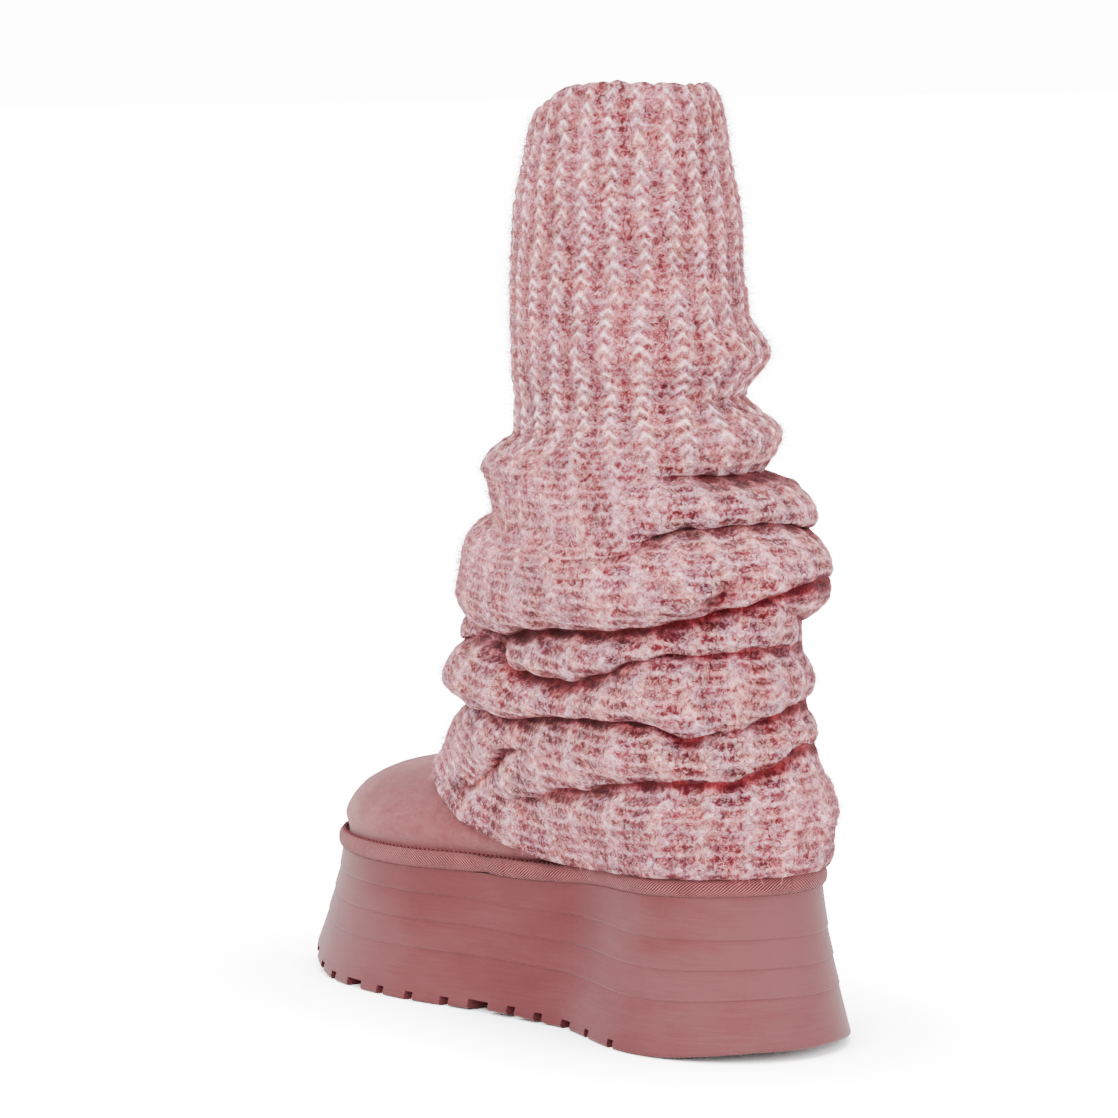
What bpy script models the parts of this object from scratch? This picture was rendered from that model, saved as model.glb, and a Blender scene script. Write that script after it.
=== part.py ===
"""Legwarmer boot for the right foot: a platform sole, a suede ankle boot and a slouched knit tube.

The boot stands on Z = 0 with its toe towards -Y and its inner (medial) side towards +X.
Sections are worked out in the boot's own terms: "along" runs from the back of the last to its
toe, "across" runs to the medial side, and heights start at the ground.
"""
import math

import bmesh
import bpy
from mathutils import Vector

MM = 0.001

# The last, at its bottom edge
LAST_LENGTH = 246.0 * MM
BALL_WIDTH = 87.5 * MM
HEEL_WIDTH = 62.0 * MM
HEEL_ROUND = 38.0 * MM
TOE_ROUND = 69.0 * MM
INSTEP_HEIGHT = 63.0 * MM
TOE_HEIGHT = 31.0 * MM
COLLAR_HEIGHT = 117.0 * MM
ANKLE_WIDTH = 78.0 * MM

# The sole
HEEL_SOLE_HEIGHT = 59.6 * MM
WAIST_SOLE_HEIGHT = 51.5 * MM
TOE_SOLE_HEIGHT = 48.5 * MM
SOLE_FLARE = 11.0 * MM
EDGE_ROUND = 1.6 * MM
TOE_SPRING = 10.0 * MM
HEEL_BEVEL = 3.0 * MM
ARCH_RISE = 1.4 * MM
GROOVE_DEPTH = 0.8 * MM
GROOVE_WIDTH = 1.8 * MM
LUG_DEPTH = 2.4 * MM

# The suede upper, the tape around its foot and the insole
UPPER_WALL = 3.0 * MM
UPPER_BULGE = 2.2 * MM
TAPE_HEIGHT = 7.0 * MM
TAPE_THICKNESS = 4.0 * MM
TAPE_OVERHANG = 1.6 * MM
INSOLE_THICKNESS = 6.0 * MM
INSOLE_MARGIN = 0.6 * MM

# The knit tube
SHAFT_TOP = 350.0 * MM
SHAFT_DEPTH = 78.0 * MM
SHAFT_WIDTH = 66.0 * MM
SHAFT_ALONG = 88.0 * MM
SHAFT_ACROSS = 6.0 * MM
KNIT_WALL = 4.0 * MM
KNIT_CLEARANCE = 0.8 * MM
FOLD_FULLNESS = 14.0 * MM
CREASE_WIDTH = 6.5 * MM
CREASE_DEPTH = 10.0 * MM
FOLD_DROOP = 4.0 * MM

# Space between pieces that touch
GAP = 0.3 * MM

# Segments around the foot (heel, side and toe of one side) and around the tape's section
HEEL_STEPS = 5
SIDE_STEPS = 7
TOE_STEPS = 6
TAPE_STEPS = 8

# Plan of the last's bottom edge. Columns: share of the length; half width on the lateral side as
# a share of the heel width and of the ball width; the same two shares on the medial side; shift
# of the centre to the medial side as a share of the ball width.
PLAN = [
    (0.00, 0.50, 0.000, 0.50, 0.000, 0.000),
    (0.14, 0.50, 0.000, 0.50, 0.000, 0.000),
    (0.37, 0.50, 0.000, 0.00, 0.300, 0.000),
    (0.55, 0.00, 0.465, 0.00, 0.408, 0.000),
    (0.70, 0.00, 0.488, 0.00, 0.506, 0.008),
    (0.84, 0.00, 0.460, 0.00, 0.523, 0.020),
    (1.00, 0.00, 0.410, 0.00, 0.500, 0.056),
]

# Top of the sole under the foot. Columns: share of the length; shares of the heel, waist and toe
# heights of the sole.
BED = [
    (0.00, 1.0, 0.0, 0.0),
    (0.22, 0.55, 0.45, 0.0),
    (0.50, 0.0, 1.0, 0.0),
    (0.75, 0.0, 0.3, 0.7),
    (1.00, 0.0, 0.0, 1.0),
]

# Underside of the sole. Columns: share of the length; shares of the heel bevel, arch rise and
# toe spring.
UNDERSIDE = [
    (-0.05, 1.3, 0.0, 0.0),
    (0.00, 0.75, 0.0, 0.0),
    (0.07, 0.12, 0.0, 0.0),
    (0.12, 0.0, 0.0, 0.0),
    (0.30, 0.0, 0.0, 0.0),
    (0.45, 0.0, 1.0, 0.0),
    (0.60, 0.0, 0.0, 0.0),
    (0.84, 0.0, 0.0, 0.0),
    (0.92, 0.0, 0.0, 0.22),
    (1.00, 0.0, 0.0, 0.85),
    (1.05, 0.0, 0.0, 1.15),
]

# Fine steps that run around the sole's side. Columns: how far down the side the line lies, as a
# share of its height, at the heel, at the middle and at the toe.
SIDE_LINES = [
    (0.28, 0.20, 0.17),
    (0.47, 0.40, 0.38),
    (0.66, 0.61, 0.60),
]

# Slots between the lugs. Columns: share of the last's length; slot width as a share of the lug
# depth.
SLOTS = [
    (0.955, 1.2), (0.90, 1.2), (0.845, 1.2), (0.775, 3.4), (0.705, 1.0), (0.640, 1.0),
    (0.570, 1.2), (0.500, 3.4), (0.430, 1.2), (0.375, 1.0), (0.315, 1.8), (0.245, 1.0),
    (0.165, 1.2),
]

# The form of the foot inside the upper, ring by ring from the bottom edge to the collar. Columns:
# back end along, as a share of the last's length; back end's height above the bed as a share of
# the collar height; front end along; front end's height as shares of the toe height, the instep
# height and the collar height; how late the ring climbs towards its front; blend from the foot's
# plan to the ankle's oval.
FOOT_RINGS = [
    (0.000, 0.003, 1.000, 0.010, 0.00, 0.00, 1.0, 0.00),
    (0.000, 0.026, 1.000, 0.232, 0.00, 0.00, 1.0, 0.00),
    (0.000, 0.043, 0.994, 0.46, 0.00, 0.00, 2.0, 0.00),
    (0.000, 0.055, 0.968, 0.74, 0.00, 0.00, 3.0, 0.00),
    (0.000, 0.064, 0.915, 0.96, 0.00, 0.00, 3.8, 0.02),
    (0.000, 0.073, 0.835, 1.10, 0.00, 0.00, 4.4, 0.05),
    (0.000, 0.084, 0.752, 0.86, 0.20, 0.00, 4.6, 0.09),
    (0.000, 0.130, 0.720, 0.56, 0.44, 0.00, 3.4, 0.20),
    (0.002, 0.220, 0.691, 0.25, 0.75, 0.00, 2.5, 0.40),
    (0.016, 0.360, 0.660, 0.00, 1.07, 0.00, 1.8, 0.62),
    (0.045, 0.530, 0.634, 0.00, 0.57, 0.42, 1.4, 0.82),
    (0.060, 0.740, 0.613, 0.00, 0.20, 0.78, 1.15, 0.95),
    (0.068, 0.960, 0.602, 0.00, 0.00, 1.04, 1.0, 1.00),
]

# The slack tube above the collar. Columns: height as a share of the way from the collar to the
# top; centre along, as a blend from the collar's centre to the shaft's; depth and width beyond the
# shaft's own as shares of them.
LEG_RINGS = [
    (0.13, 0.45, 0.30, 0.16),
    (0.27, 0.75, 0.10, 0.05),
    (0.41, 0.92, -0.01, -0.01),
    (0.58, 1.00, 0.00, 0.00),
    (0.74, 1.00, -0.07, -0.07),
    (0.87, 1.00, -0.21, -0.21),
    (1.00, 1.00, -0.31, -0.33),
]

# Which ring of the foot the knit's hem lies on
HEM_RING = 6

# How far the slouched knit stands off, by height. Columns: height as a share of the top's; share
# of the fold fullness at the back, the medial side, the front and the lateral side.
FULLNESS = [
    (0.175, 0.00, 0.00, 0.00, 0.00),
    (0.210, 0.05, 0.20, 0.00, 0.20),
    (0.245, 0.30, 0.45, 0.00, 0.45),
    (0.285, 0.35, 0.62, 0.10, 0.55),
    (0.320, 0.34, 0.70, 0.45, 0.60),
    (0.360, 0.34, 0.85, 0.90, 0.62),
    (0.400, 0.40, 1.00, 1.20, 0.72),
    (0.450, 0.66, 1.10, 1.25, 0.85),
    (0.490, 0.85, 1.05, 1.10, 0.95),
    (0.540, 0.62, 0.85, 0.90, 0.75),
    (0.585, 0.45, 0.62, 0.65, 0.55),
    (0.630, 0.42, 0.36, 0.36, 0.44),
    (0.675, 0.00, 0.00, 0.00, 0.00),
    (0.735, 0.34, 0.00, 0.00, 0.26),
    (0.800, 0.00, 0.00, 0.00, 0.00),
    (1.000, 0.00, 0.00, 0.00, 0.00),
]

# Creases of the slouched knit. Columns: height as a share of the top's at the back, the medial
# side, the front and the lateral side; then the depth at the same four places, as shares of the
# crease depth.
CREASES = [
    (0.602, 0.610, 0.625, 0.605, 0.60, 0.05, 0.25, 0.50),
    (0.552, 0.490, 0.510, 0.560, 0.85, 0.30, 0.55, 0.80),
    (0.483, 0.444, 0.440, 0.500, 0.85, 0.85, 0.70, 0.70),
    (0.426, 0.392, 0.392, 0.435, 0.50, 0.72, 0.70, 0.50),
    (0.352, 0.342, 0.340, 0.366, 0.70, 0.75, 0.55, 0.70),
    (0.300, 0.262, 0.298, 0.326, 0.80, 0.65, 0.20, 0.60),
]

# Colours, roughness
DUSTY_ROSE = (0.360, 0.160, 0.165, 1.0)
SUEDE_ROSE = (0.430, 0.185, 0.185, 1.0)
TAPE_ROSE = (0.380, 0.125, 0.140, 1.0)
WOOL_PINK = (0.780, 0.560, 0.560, 1.0)
KNIT_PINK = (0.650, 0.330, 0.350, 1.0)


def read(table, share, column):
    """Value of a table's column at a share, through its rows without overshoot."""
    rows = [(row[0], row[column]) for row in table]
    if share <= rows[0][0]:
        return rows[0][1]
    if share >= rows[-1][0]:
        return rows[-1][1]
    slopes = [(b[1] - a[1]) / (b[0] - a[0]) for a, b in zip(rows, rows[1:])]
    tangents = [slopes[0]]
    for before, after in zip(slopes, slopes[1:]):
        same_way = before * after > 0
        tangents.append(2 * before * after / (before + after) if same_way else 0.0)
    tangents.append(slopes[-1])
    i = max(k for k in range(len(rows) - 1) if rows[k][0] <= share)
    span = rows[i + 1][0] - rows[i][0]
    t = (share - rows[i][0]) / span
    return ((2 * t ** 3 - 3 * t ** 2 + 1) * rows[i][1]
            + (t ** 3 - 2 * t ** 2 + t) * span * tangents[i]
            + (3 * t ** 2 - 2 * t ** 3) * rows[i + 1][1]
            + (t ** 3 - t ** 2) * span * tangents[i + 1])


def bed_height(along):
    """Height of the sole's top above the ground."""
    share = along / LAST_LENGTH
    return (read(BED, share, 1) * HEEL_SOLE_HEIGHT
            + read(BED, share, 2) * WAIST_SOLE_HEIGHT
            + read(BED, share, 3) * TOE_SOLE_HEIGHT)


def underside_height(along):
    """Height of the sole's underside above the ground."""
    share = along / LAST_LENGTH
    return (read(UNDERSIDE, share, 1) * HEEL_BEVEL
            + read(UNDERSIDE, share, 2) * ARCH_RISE
            + read(UNDERSIDE, share, 3) * TOE_SPRING)


def end_rounding(from_back, from_front):
    """How far a ring is drawn in near its two ends, from 0 at the tips to 1 along the side."""
    heel = min(max(1 - from_back / HEEL_ROUND, 0.0), 1.0)
    toe = min(max(1 - from_front / TOE_ROUND, 0.0), 1.0)
    return (1 - heel ** 2) ** (1 / 2) * (1 - toe ** 2.25) ** (1 / 2.25)


def plan_half(along, side):
    """Half width of the last's bottom at its side: 1 for medial and -1 for lateral."""
    column = 3 if side > 0 else 1
    share = along / LAST_LENGTH
    return read(PLAN, share, column) * HEEL_WIDTH + read(PLAN, share, column + 1) * BALL_WIDTH


def plan_centre(along):
    """How far the middle of the last's bottom lies to the medial side."""
    return read(PLAN, along / LAST_LENGTH, 5) * BALL_WIDTH


def side_shares():
    """Shares of the length from heel to toe, closer together in the round ends."""
    heel = HEEL_ROUND / LAST_LENGTH
    toe = TOE_ROUND / LAST_LENGTH
    shares = [heel * (1 - math.cos(math.pi / 2 * k / HEEL_STEPS)) for k in range(HEEL_STEPS)]
    shares += [heel + (1 - heel - toe) * k / SIDE_STEPS for k in range(SIDE_STEPS)]
    shares += [1 - toe * (1 - math.sin(math.pi / 2 * k / TOE_STEPS))
               for k in range(TOE_STEPS + 1)]
    return shares


def around(shares):
    """Share and side of each point of a ring: up the medial side, back down the lateral side."""
    return [(s, 1) for s in shares[:-1]] + [(s, -1) for s in reversed(shares[1:])]


def outline(out, shares):
    """Points (across, along) of the last's bottom edge, moved outwards by a distance."""
    points = []
    for share, side in around(shares):
        along = share * LAST_LENGTH
        half = plan_half(along, side) * end_rounding(along, LAST_LENGTH - along)
        points.append(Vector((plan_centre(along) + side * half, along)))
    moved = []
    for i, point in enumerate(points):
        tangent = points[(i + 1) % len(points)] - points[i - 1]
        moved.append(point + Vector((tangent.y, -tangent.x)).normalized() * out)
    return moved


def ring_values(level):
    """Columns of the foot's rings, or of the leg's, at a level that counts rings."""
    rows = []
    for row in FOOT_RINGS:
        front_height = row[3] * TOE_HEIGHT + row[4] * INSTEP_HEIGHT + row[5] * COLLAR_HEIGHT
        rows.append((row[0] * LAST_LENGTH, row[1] * COLLAR_HEIGHT, row[2] * LAST_LENGTH,
                     front_height, row[6], row[7], ANKLE_WIDTH / 2, 0.0))
    collar = rows[-1]
    collar_centre = (collar[0] + collar[2]) / 2
    collar_height = (collar[1] + collar[3]) / 2
    top = SHAFT_TOP - bed_height(SHAFT_ALONG)
    for up, shift, deeper, wider in LEG_RINGS:
        centre = collar_centre + (SHAFT_ALONG - collar_centre) * shift
        half_depth = SHAFT_DEPTH / 2 * (1 + deeper)
        half_width = SHAFT_WIDTH / 2 * (1 + wider)
        height = collar_height + (top - collar_height) * up
        back = height + bed_height(SHAFT_ALONG) - bed_height(centre - half_depth)
        front = height + bed_height(SHAFT_ALONG) - bed_height(centre + half_depth)
        rows.append((centre - half_depth, back, centre + half_depth, front, 1.0, 1.0,
                     half_width, SHAFT_ACROSS * shift))
    table = [(k,) + row for k, row in enumerate(rows)]
    return [read(table, level, column) for column in range(1, len(table[0]))]


def form_point(level, share, side):
    """A point of the foot and leg form: the last's skin up to the collar, then the slack tube."""
    back, back_height, front, front_height, late, blend, half_width, shift = ring_values(level)
    height = back_height + (front_height - back_height) * share ** late
    # The foot swells past its bottom edge above the tape
    swell = min(max((height - TAPE_HEIGHT - GAP) / TAPE_HEIGHT, 0.0), 1.0)
    bulge = UPPER_BULGE * swell * swell * (3 - 2 * swell) * (1 - blend)
    along = back + (front - back) * share
    rounding = end_rounding(along - back, front - along)
    oval = half_width * math.sqrt(max(0.0, 1 - (2 * share - 1) ** 2))
    half = (plan_half(along, side) * rounding * (1 - blend) + oval * blend
            + bulge * rounding)
    centre = plan_centre(along) * (1 - blend) + shift
    along -= bulge * (1 - 2 * share)
    return Vector((centre + side * half, along, bed_height(along) + height))


def form_grid(levels, shares):
    """Rings of the form, one list of points for each level."""
    return [[form_point(level, share, side) for share, side in around(shares)]
            for level in levels]


def outward(grid, i, j):
    """Unit normal of a grid of rings at one of its points."""
    count = len(grid[0])
    up = grid[min(i + 1, len(grid) - 1)][j] - grid[max(i - 1, 0)][j]
    along = grid[i][(j + 1) % count] - grid[i][(j - 1) % count]
    return along.cross(up).normalized()


def four_way(row, first, turn):
    """Value at a turn around the shaft through the four values at back, medial, front, lateral."""
    back, medial, front, lateral = row[first:first + 4]
    return ((back + medial + front + lateral) / 4
            + (back - front) / 2 * math.cos(turn)
            + (medial - lateral) / 2 * math.sin(turn)
            + (back - medial + front - lateral) / 4 * math.cos(2 * turn))


def fold_offset(point, turn):
    """How far the slouched knit stands off its form at a point, and how far it droops there."""
    share = point.z / SHAFT_TOP
    stand = four_way([read(FULLNESS, share, k) for k in (1, 2, 3, 4)], 0, turn) * FOLD_FULLNESS
    droop = 0.0
    for row in CREASES:
        crease_height = four_way(row, 0, turn) * SHAFT_TOP
        depth = four_way(row, 4, turn) * CREASE_DEPTH
        away = (point.z - crease_height) / CREASE_WIDTH
        stand -= depth * math.exp(-away * away)
        if away > 0:
            droop += FOLD_DROOP * depth / CREASE_DEPTH * away * math.exp(-away * away)
    return max(stand, 0.0), droop


def new_object(name, mesh, material, collection):
    """Link a mesh as an object with one material."""
    mesh.materials.append(material)
    item = bpy.data.objects.new(name, mesh)
    collection.objects.link(item)
    return item


def paint(name, colour, roughness):
    """A plain material."""
    material = bpy.data.materials.new(name)
    material.use_nodes = True
    shader = material.node_tree.nodes["Principled BSDF"]
    shader.inputs["Base Color"].default_value = colour
    shader.inputs["Roughness"].default_value = roughness
    shader.inputs["Metallic"].default_value = 0.0
    return material


def placed(point):
    """From across, along and height to the boot's axes, with the toe towards -Y."""
    return Vector((point[0], -point[1], point[2]))


def loft(name, rings, close_ends=False, wrap=False):
    """Mesh through rings of equal counts, each one above the one before."""
    shape = bmesh.new()
    loops = [[shape.verts.new(placed(p)) for p in ring] for ring in rings]
    count = len(loops[0])
    pairs = list(zip(loops, loops[1:] + loops[:1])) if wrap else list(zip(loops, loops[1:]))
    for low, high in pairs:
        for i in range(count):
            j = (i + 1) % count
            shape.faces.new((low[i], high[i], high[j], low[j]))
    if close_ends:
        for loop in (loops[0], loops[-1]):
            for i in range(count // 2):
                a, b = loop[i], loop[i + 1]
                c, d = loop[(count - i - 1) % count], loop[(count - i) % count]
                corners = [v for k, v in enumerate((a, b, c, d)) if v not in (a, b, c, d)[:k]]
                if len(corners) > 2:
                    shape.faces.new(corners)
    bmesh.ops.recalc_face_normals(shape, faces=shape.faces)
    mesh = bpy.data.meshes.new(name)
    shape.to_mesh(mesh)
    shape.free()
    mesh.shade_smooth()
    mesh.set_sharp_from_angle(angle=math.radians(40))
    return mesh


def thicken(item, thickness, offset):
    """Give an open skin its wall."""
    wall = item.modifiers.new("wall", "SOLIDIFY")
    wall.thickness = thickness
    wall.offset = offset
    wall.use_even_offset = False
    wall.use_rim = True


def sole_side(shares):
    """Rings of the sole's side, from the top edge down to the ground edge."""
    top_out = UPPER_WALL + GAP + TAPE_THICKNESS - TAPE_OVERHANG
    plan_top = outline(top_out, shares)
    plan_ground = outline(top_out + SOLE_FLARE, shares)
    stops = [("edge", 0, 0.0)]
    for line in range(len(SIDE_LINES)):
        stops += [("line", line, -0.5), ("line", line, 0.0), ("line", line, 0.5)]
    stops += [("low", 0, 1.0), ("ground", 0, 1.0)]
    rings = []
    for kind, line, place in stops:
        ring = []
        for top, ground in zip(plan_top, plan_ground):
            along = min(max(top.y, 0.0), LAST_LENGTH)
            high = bed_height(along)
            low = underside_height(ground.y)
            down, inward = side_stop(kind, line, place, along / LAST_LENGTH, high - low)
            point = top.lerp(ground, down ** 1.25)
            inside = (top - ground).normalized() * inward
            ring.append((point.x + inside.x, point.y + inside.y, high + (low - high) * down))
        rings.append(ring)
    return rings


def side_stop(kind, line, place, share, height):
    """How far down the side a ring lies, and how far in it is set."""
    if kind == "edge":
        return 0.0, 0.0
    if kind == "low":
        return 1 - EDGE_ROUND / height, 0.0
    if kind == "ground":
        return 1.0, EDGE_ROUND
    heel, middle, toe = SIDE_LINES[line]
    down = heel * (1 - share) * (1 - 2 * share) + middle * 4 * share * (1 - share)
    down += toe * share * (2 * share - 1)
    return down + place * GROOVE_WIDTH / height, GROOVE_DEPTH * (1 - abs(2 * place))


def make_sole(material, collection, cutters):
    """Platform sole: flared side with three fine lines, sprung toe, bevelled heel and lugs."""
    shares = side_shares()
    rings = list(reversed(sole_side(shares)))
    sole = new_object("platform_sole", loft("platform_sole", rings, close_ends=True), material,
                      collection)
    slots = bmesh.new()
    reach = BALL_WIDTH + 4 * SOLE_FLARE
    for share, width in SLOTS:
        along = share * LAST_LENGTH
        floor = underside_height(along)
        box = bmesh.ops.create_cube(slots, size=1.0)["verts"]
        bmesh.ops.scale(slots, verts=box, vec=(reach, width * LUG_DEPTH, 2 * LUG_DEPTH))
        bmesh.ops.translate(slots, verts=box, vec=placed((0, along, floor)))
    mesh = bpy.data.meshes.new("lug_slots")
    slots.to_mesh(mesh)
    slots.free()
    cutter = bpy.data.objects.new("lug_slots", mesh)
    cutters.objects.link(cutter)
    cutter.hide_render = True
    cutter.display_type = "WIRE"
    cut = sole.modifiers.new("lugs", "BOOLEAN")
    cut.operation = "DIFFERENCE"
    cut.solver = "EXACT"
    cut.object = cutter
    return sole


def make_upper(material, collection):
    """Suede ankle boot: a hollow skin from the sole to its collar, open at both."""
    collar = len(FOOT_RINGS) - 1
    levels = list(range(HEM_RING)) + [HEM_RING + k / 2 for k in range(2 * (collar - HEM_RING) + 1)]
    grid = form_grid(levels, side_shares())
    upper = new_object("suede_upper", loft("suede_upper", grid), material, collection)
    thicken(upper, UPPER_WALL, 1.0)
    return upper


def make_tape(material, collection):
    """Twill tape in a closed band around the foot of the upper."""
    shares = side_shares()
    sections = []
    for k in range(TAPE_STEPS):
        turn = 2 * math.pi * k / TAPE_STEPS
        # A flattened oval: nearly square on the inside, rounded on the outside
        out = 0.5 + 0.5 * math.copysign(abs(math.cos(turn)) ** 0.7, math.cos(turn))
        up = 0.5 + 0.5 * math.copysign(abs(math.sin(turn)) ** 0.6, math.sin(turn))
        sections.append((out, up))
    rings = []
    for out, up in sections:
        plan = outline(UPPER_WALL + GAP + out * TAPE_THICKNESS, shares)
        ring = []
        for point in plan:
            along = min(max(point.y, 0.0), LAST_LENGTH)
            height = bed_height(along) + GAP + up * (TAPE_HEIGHT - GAP)
            ring.append((point.x, point.y, height))
        rings.append(ring)
    return new_object("binding_tape", loft("binding_tape", rings, wrap=True), material, collection)


def make_insole(material, collection):
    """Fleece-topped insole that fills the foot of the upper."""
    shares = side_shares()
    edge = outline(-INSOLE_MARGIN, shares)
    crown = outline(-INSOLE_MARGIN - 0.25 * INSOLE_THICKNESS, shares)
    layers = [(edge, 0.0), (edge, 0.7), (crown, 1.0)]
    rings = []
    for plan, up in layers:
        rings.append([(p.x, p.y, bed_height(p.y) + GAP + up * INSOLE_THICKNESS) for p in plan])
    return new_object("insole", loft("insole", rings, close_ends=True), material, collection)


def knit_levels():
    """Levels of the knit's rings: close together where it slouches."""
    collar = len(FOOT_RINGS) - 1
    low = [HEM_RING + (collar - HEM_RING) * k / 22 for k in range(22)]
    folded = [collar + 2.4 * k / 14 for k in range(14)]
    plain = [collar + 2.4 + (len(LEG_RINGS) - 2.4) * k / 9 for k in range(10)]
    return low + folded + plain


def make_knit(material, collection):
    """Knit legwarmer: one hollow tube from its hem over the vamp to its rim, slouched in folds."""
    grid = form_grid(knit_levels(), side_shares())
    stand = UPPER_WALL + KNIT_CLEARANCE + KNIT_WALL
    count = len(grid[0])
    rings = []
    for i, ring in enumerate(grid):
        moved = []
        for j, point in enumerate(ring):
            turn = 2 * math.pi * j / count
            out, droop = fold_offset(point, turn)
            normal = outward(grid, i, j)
            sideways = Vector((normal.x, normal.y, 0)).normalized()
            moved.append(point + normal * stand + sideways * out - Vector((0, 0, droop)))
        rings.append(moved)
    knit = new_object("knit_legwarmer", loft("knit_legwarmer", rings), material, collection)
    thicken(knit, KNIT_WALL, -1.0)
    return knit


def centre_on_origin(pieces, collection):
    """Hang the pieces on an empty so that the boot stands on the origin."""
    bpy.context.view_layer.update()
    graph = bpy.context.evaluated_depsgraph_get()
    corners = []
    for piece in pieces:
        shape = piece.evaluated_get(graph).to_mesh()
        corners += [vertex.co.copy() for vertex in shape.vertices]
        piece.evaluated_get(graph).to_mesh_clear()
    low = [min(corner[axis] for corner in corners) for axis in range(3)]
    high = [max(corner[axis] for corner in corners) for axis in range(3)]
    stand = bpy.data.objects.new("boot", None)
    collection.objects.link(stand)
    stand.location = (-(low[0] + high[0]) / 2, -(low[1] + high[1]) / 2, -low[2])
    for piece in pieces:
        piece.parent = stand


def main():
    for item in list(bpy.data.objects):
        bpy.data.objects.remove(item, do_unlink=True)
    boot = bpy.data.collections.new("legwarmer_boot")
    cutters = bpy.data.collections.new("cutters")
    bpy.context.scene.collection.children.link(boot)
    bpy.context.scene.collection.children.link(cutters)
    sole = make_sole(paint("moulded_sole", DUSTY_ROSE, 0.6), boot, cutters)
    upper = make_upper(paint("suede", SUEDE_ROSE, 0.9), boot)
    tape = make_tape(paint("twill_tape", TAPE_ROSE, 0.85), boot)
    insole = make_insole(paint("fleece", WOOL_PINK, 0.95), boot)
    knit = make_knit(paint("marled_knit", KNIT_PINK, 0.95), boot)
    centre_on_origin([sole, upper, tape, insole, knit], boot)
    bpy.context.view_layer.update()


main()
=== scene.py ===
"""Looks of the legwarmer boot: studio, camera, and a detailed piece over each solid of the frame.

Points are worked out in the boot's own terms, as in its source: across to the medial side, along
from the back of the last to its toe, and up from the ground. in_place() moves them to the frame.
"""
import math

import bmesh
import bpy
import numpy as np
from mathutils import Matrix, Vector


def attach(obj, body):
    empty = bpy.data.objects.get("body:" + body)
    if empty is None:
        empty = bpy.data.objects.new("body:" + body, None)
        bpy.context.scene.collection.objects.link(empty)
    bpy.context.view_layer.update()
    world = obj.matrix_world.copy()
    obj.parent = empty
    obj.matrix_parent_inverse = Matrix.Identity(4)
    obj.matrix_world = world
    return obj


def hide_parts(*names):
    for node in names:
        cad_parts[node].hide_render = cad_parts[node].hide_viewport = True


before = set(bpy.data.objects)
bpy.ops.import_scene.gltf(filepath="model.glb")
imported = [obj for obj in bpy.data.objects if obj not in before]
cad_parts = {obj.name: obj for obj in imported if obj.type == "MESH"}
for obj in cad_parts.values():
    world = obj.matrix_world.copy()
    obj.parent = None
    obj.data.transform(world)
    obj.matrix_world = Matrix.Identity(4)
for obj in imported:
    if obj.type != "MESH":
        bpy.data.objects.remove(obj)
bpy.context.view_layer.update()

MM = 0.001

# Where the last's back end lies in the frame
STAND_ACROSS = -1.625 * MM
STAND_ALONG = 122.90 * MM

# The last
LAST_LENGTH = 246.0 * MM
BALL_WIDTH = 87.5 * MM
HEEL_WIDTH = 62.0 * MM
HEEL_ROUND = 38.0 * MM
TOE_ROUND = 69.0 * MM
HEEL_SHARE = HEEL_ROUND / LAST_LENGTH
TOE_SHARE = TOE_ROUND / LAST_LENGTH
TOE_CURVE = 2.25
SPINE_BACK = 16.0 * MM
SPINE_FRONT = 24.0 * MM
INSTEP_HEIGHT = 63.0 * MM
TOE_HEIGHT = 31.0 * MM
COLLAR_HEIGHT = 117.0 * MM
ANKLE_WIDTH = 78.0 * MM

# Degrees of turn around the tube that the last's heel, side and toe take up
HEEL_TURN = 50
SIDE_TURN = 70
TOE_TURN = 60

# The sole
HEEL_SOLE_HEIGHT = 59.6 * MM
WAIST_SOLE_HEIGHT = 51.5 * MM
TOE_SOLE_HEIGHT = 48.5 * MM
SOLE_FLARE = 11.0 * MM
TOE_SPRING = 10.0 * MM
HEEL_BEVEL = 3.0 * MM
ARCH_RISE = 1.4 * MM
LUG_DEPTH = 3.5 * MM
SLOT_SPAN = 160.0 * MM
STEP_DEPTH = 0.42 * MM
STEP_REACH = 0.26 * MM
BAND_ROWS = 9
FLARE_CURVE = 1.25
CORNER_ROUND = 1.6 * MM

# Suede, tape and insole
UPPER_WALL = 3.0 * MM
UPPER_BULGE = 2.2 * MM
TAPE_HEIGHT = 7.0 * MM
TAPE_THICKNESS = 4.0 * MM
TAPE_OVERHANG = 1.6 * MM
TAPE_SLANT = 1.7
TAPE_PITCH = 1.45 * MM
TAPE_HALF_GIRTH = 9.0 * MM
TAPE_STEPS = 22
LAP_PLACE = 0.52
LAP_LENGTH = 9.0 * MM
LAP_RISE = 0.6 * MM
STITCH_PITCH = 2.3 * MM
STITCH_TURN = 0.5
STITCH_SIZE = (1.9 * MM, 2.0 * MM, 1.3 * MM)
INSOLE_THICKNESS = 6.0 * MM
INSOLE_MARGIN = 0.6 * MM
GAP = 0.3 * MM

# Columns of the pieces around the foot: in the heel, along each side, in half of the toe
SOLE_COLUMNS = (44, 112, 74)
SUEDE_COLUMNS = (30, 84, 62)
TAPE_COLUMNS = (90, 260, 190)
INSOLE_COLUMNS = (26, 60, 44)

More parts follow.
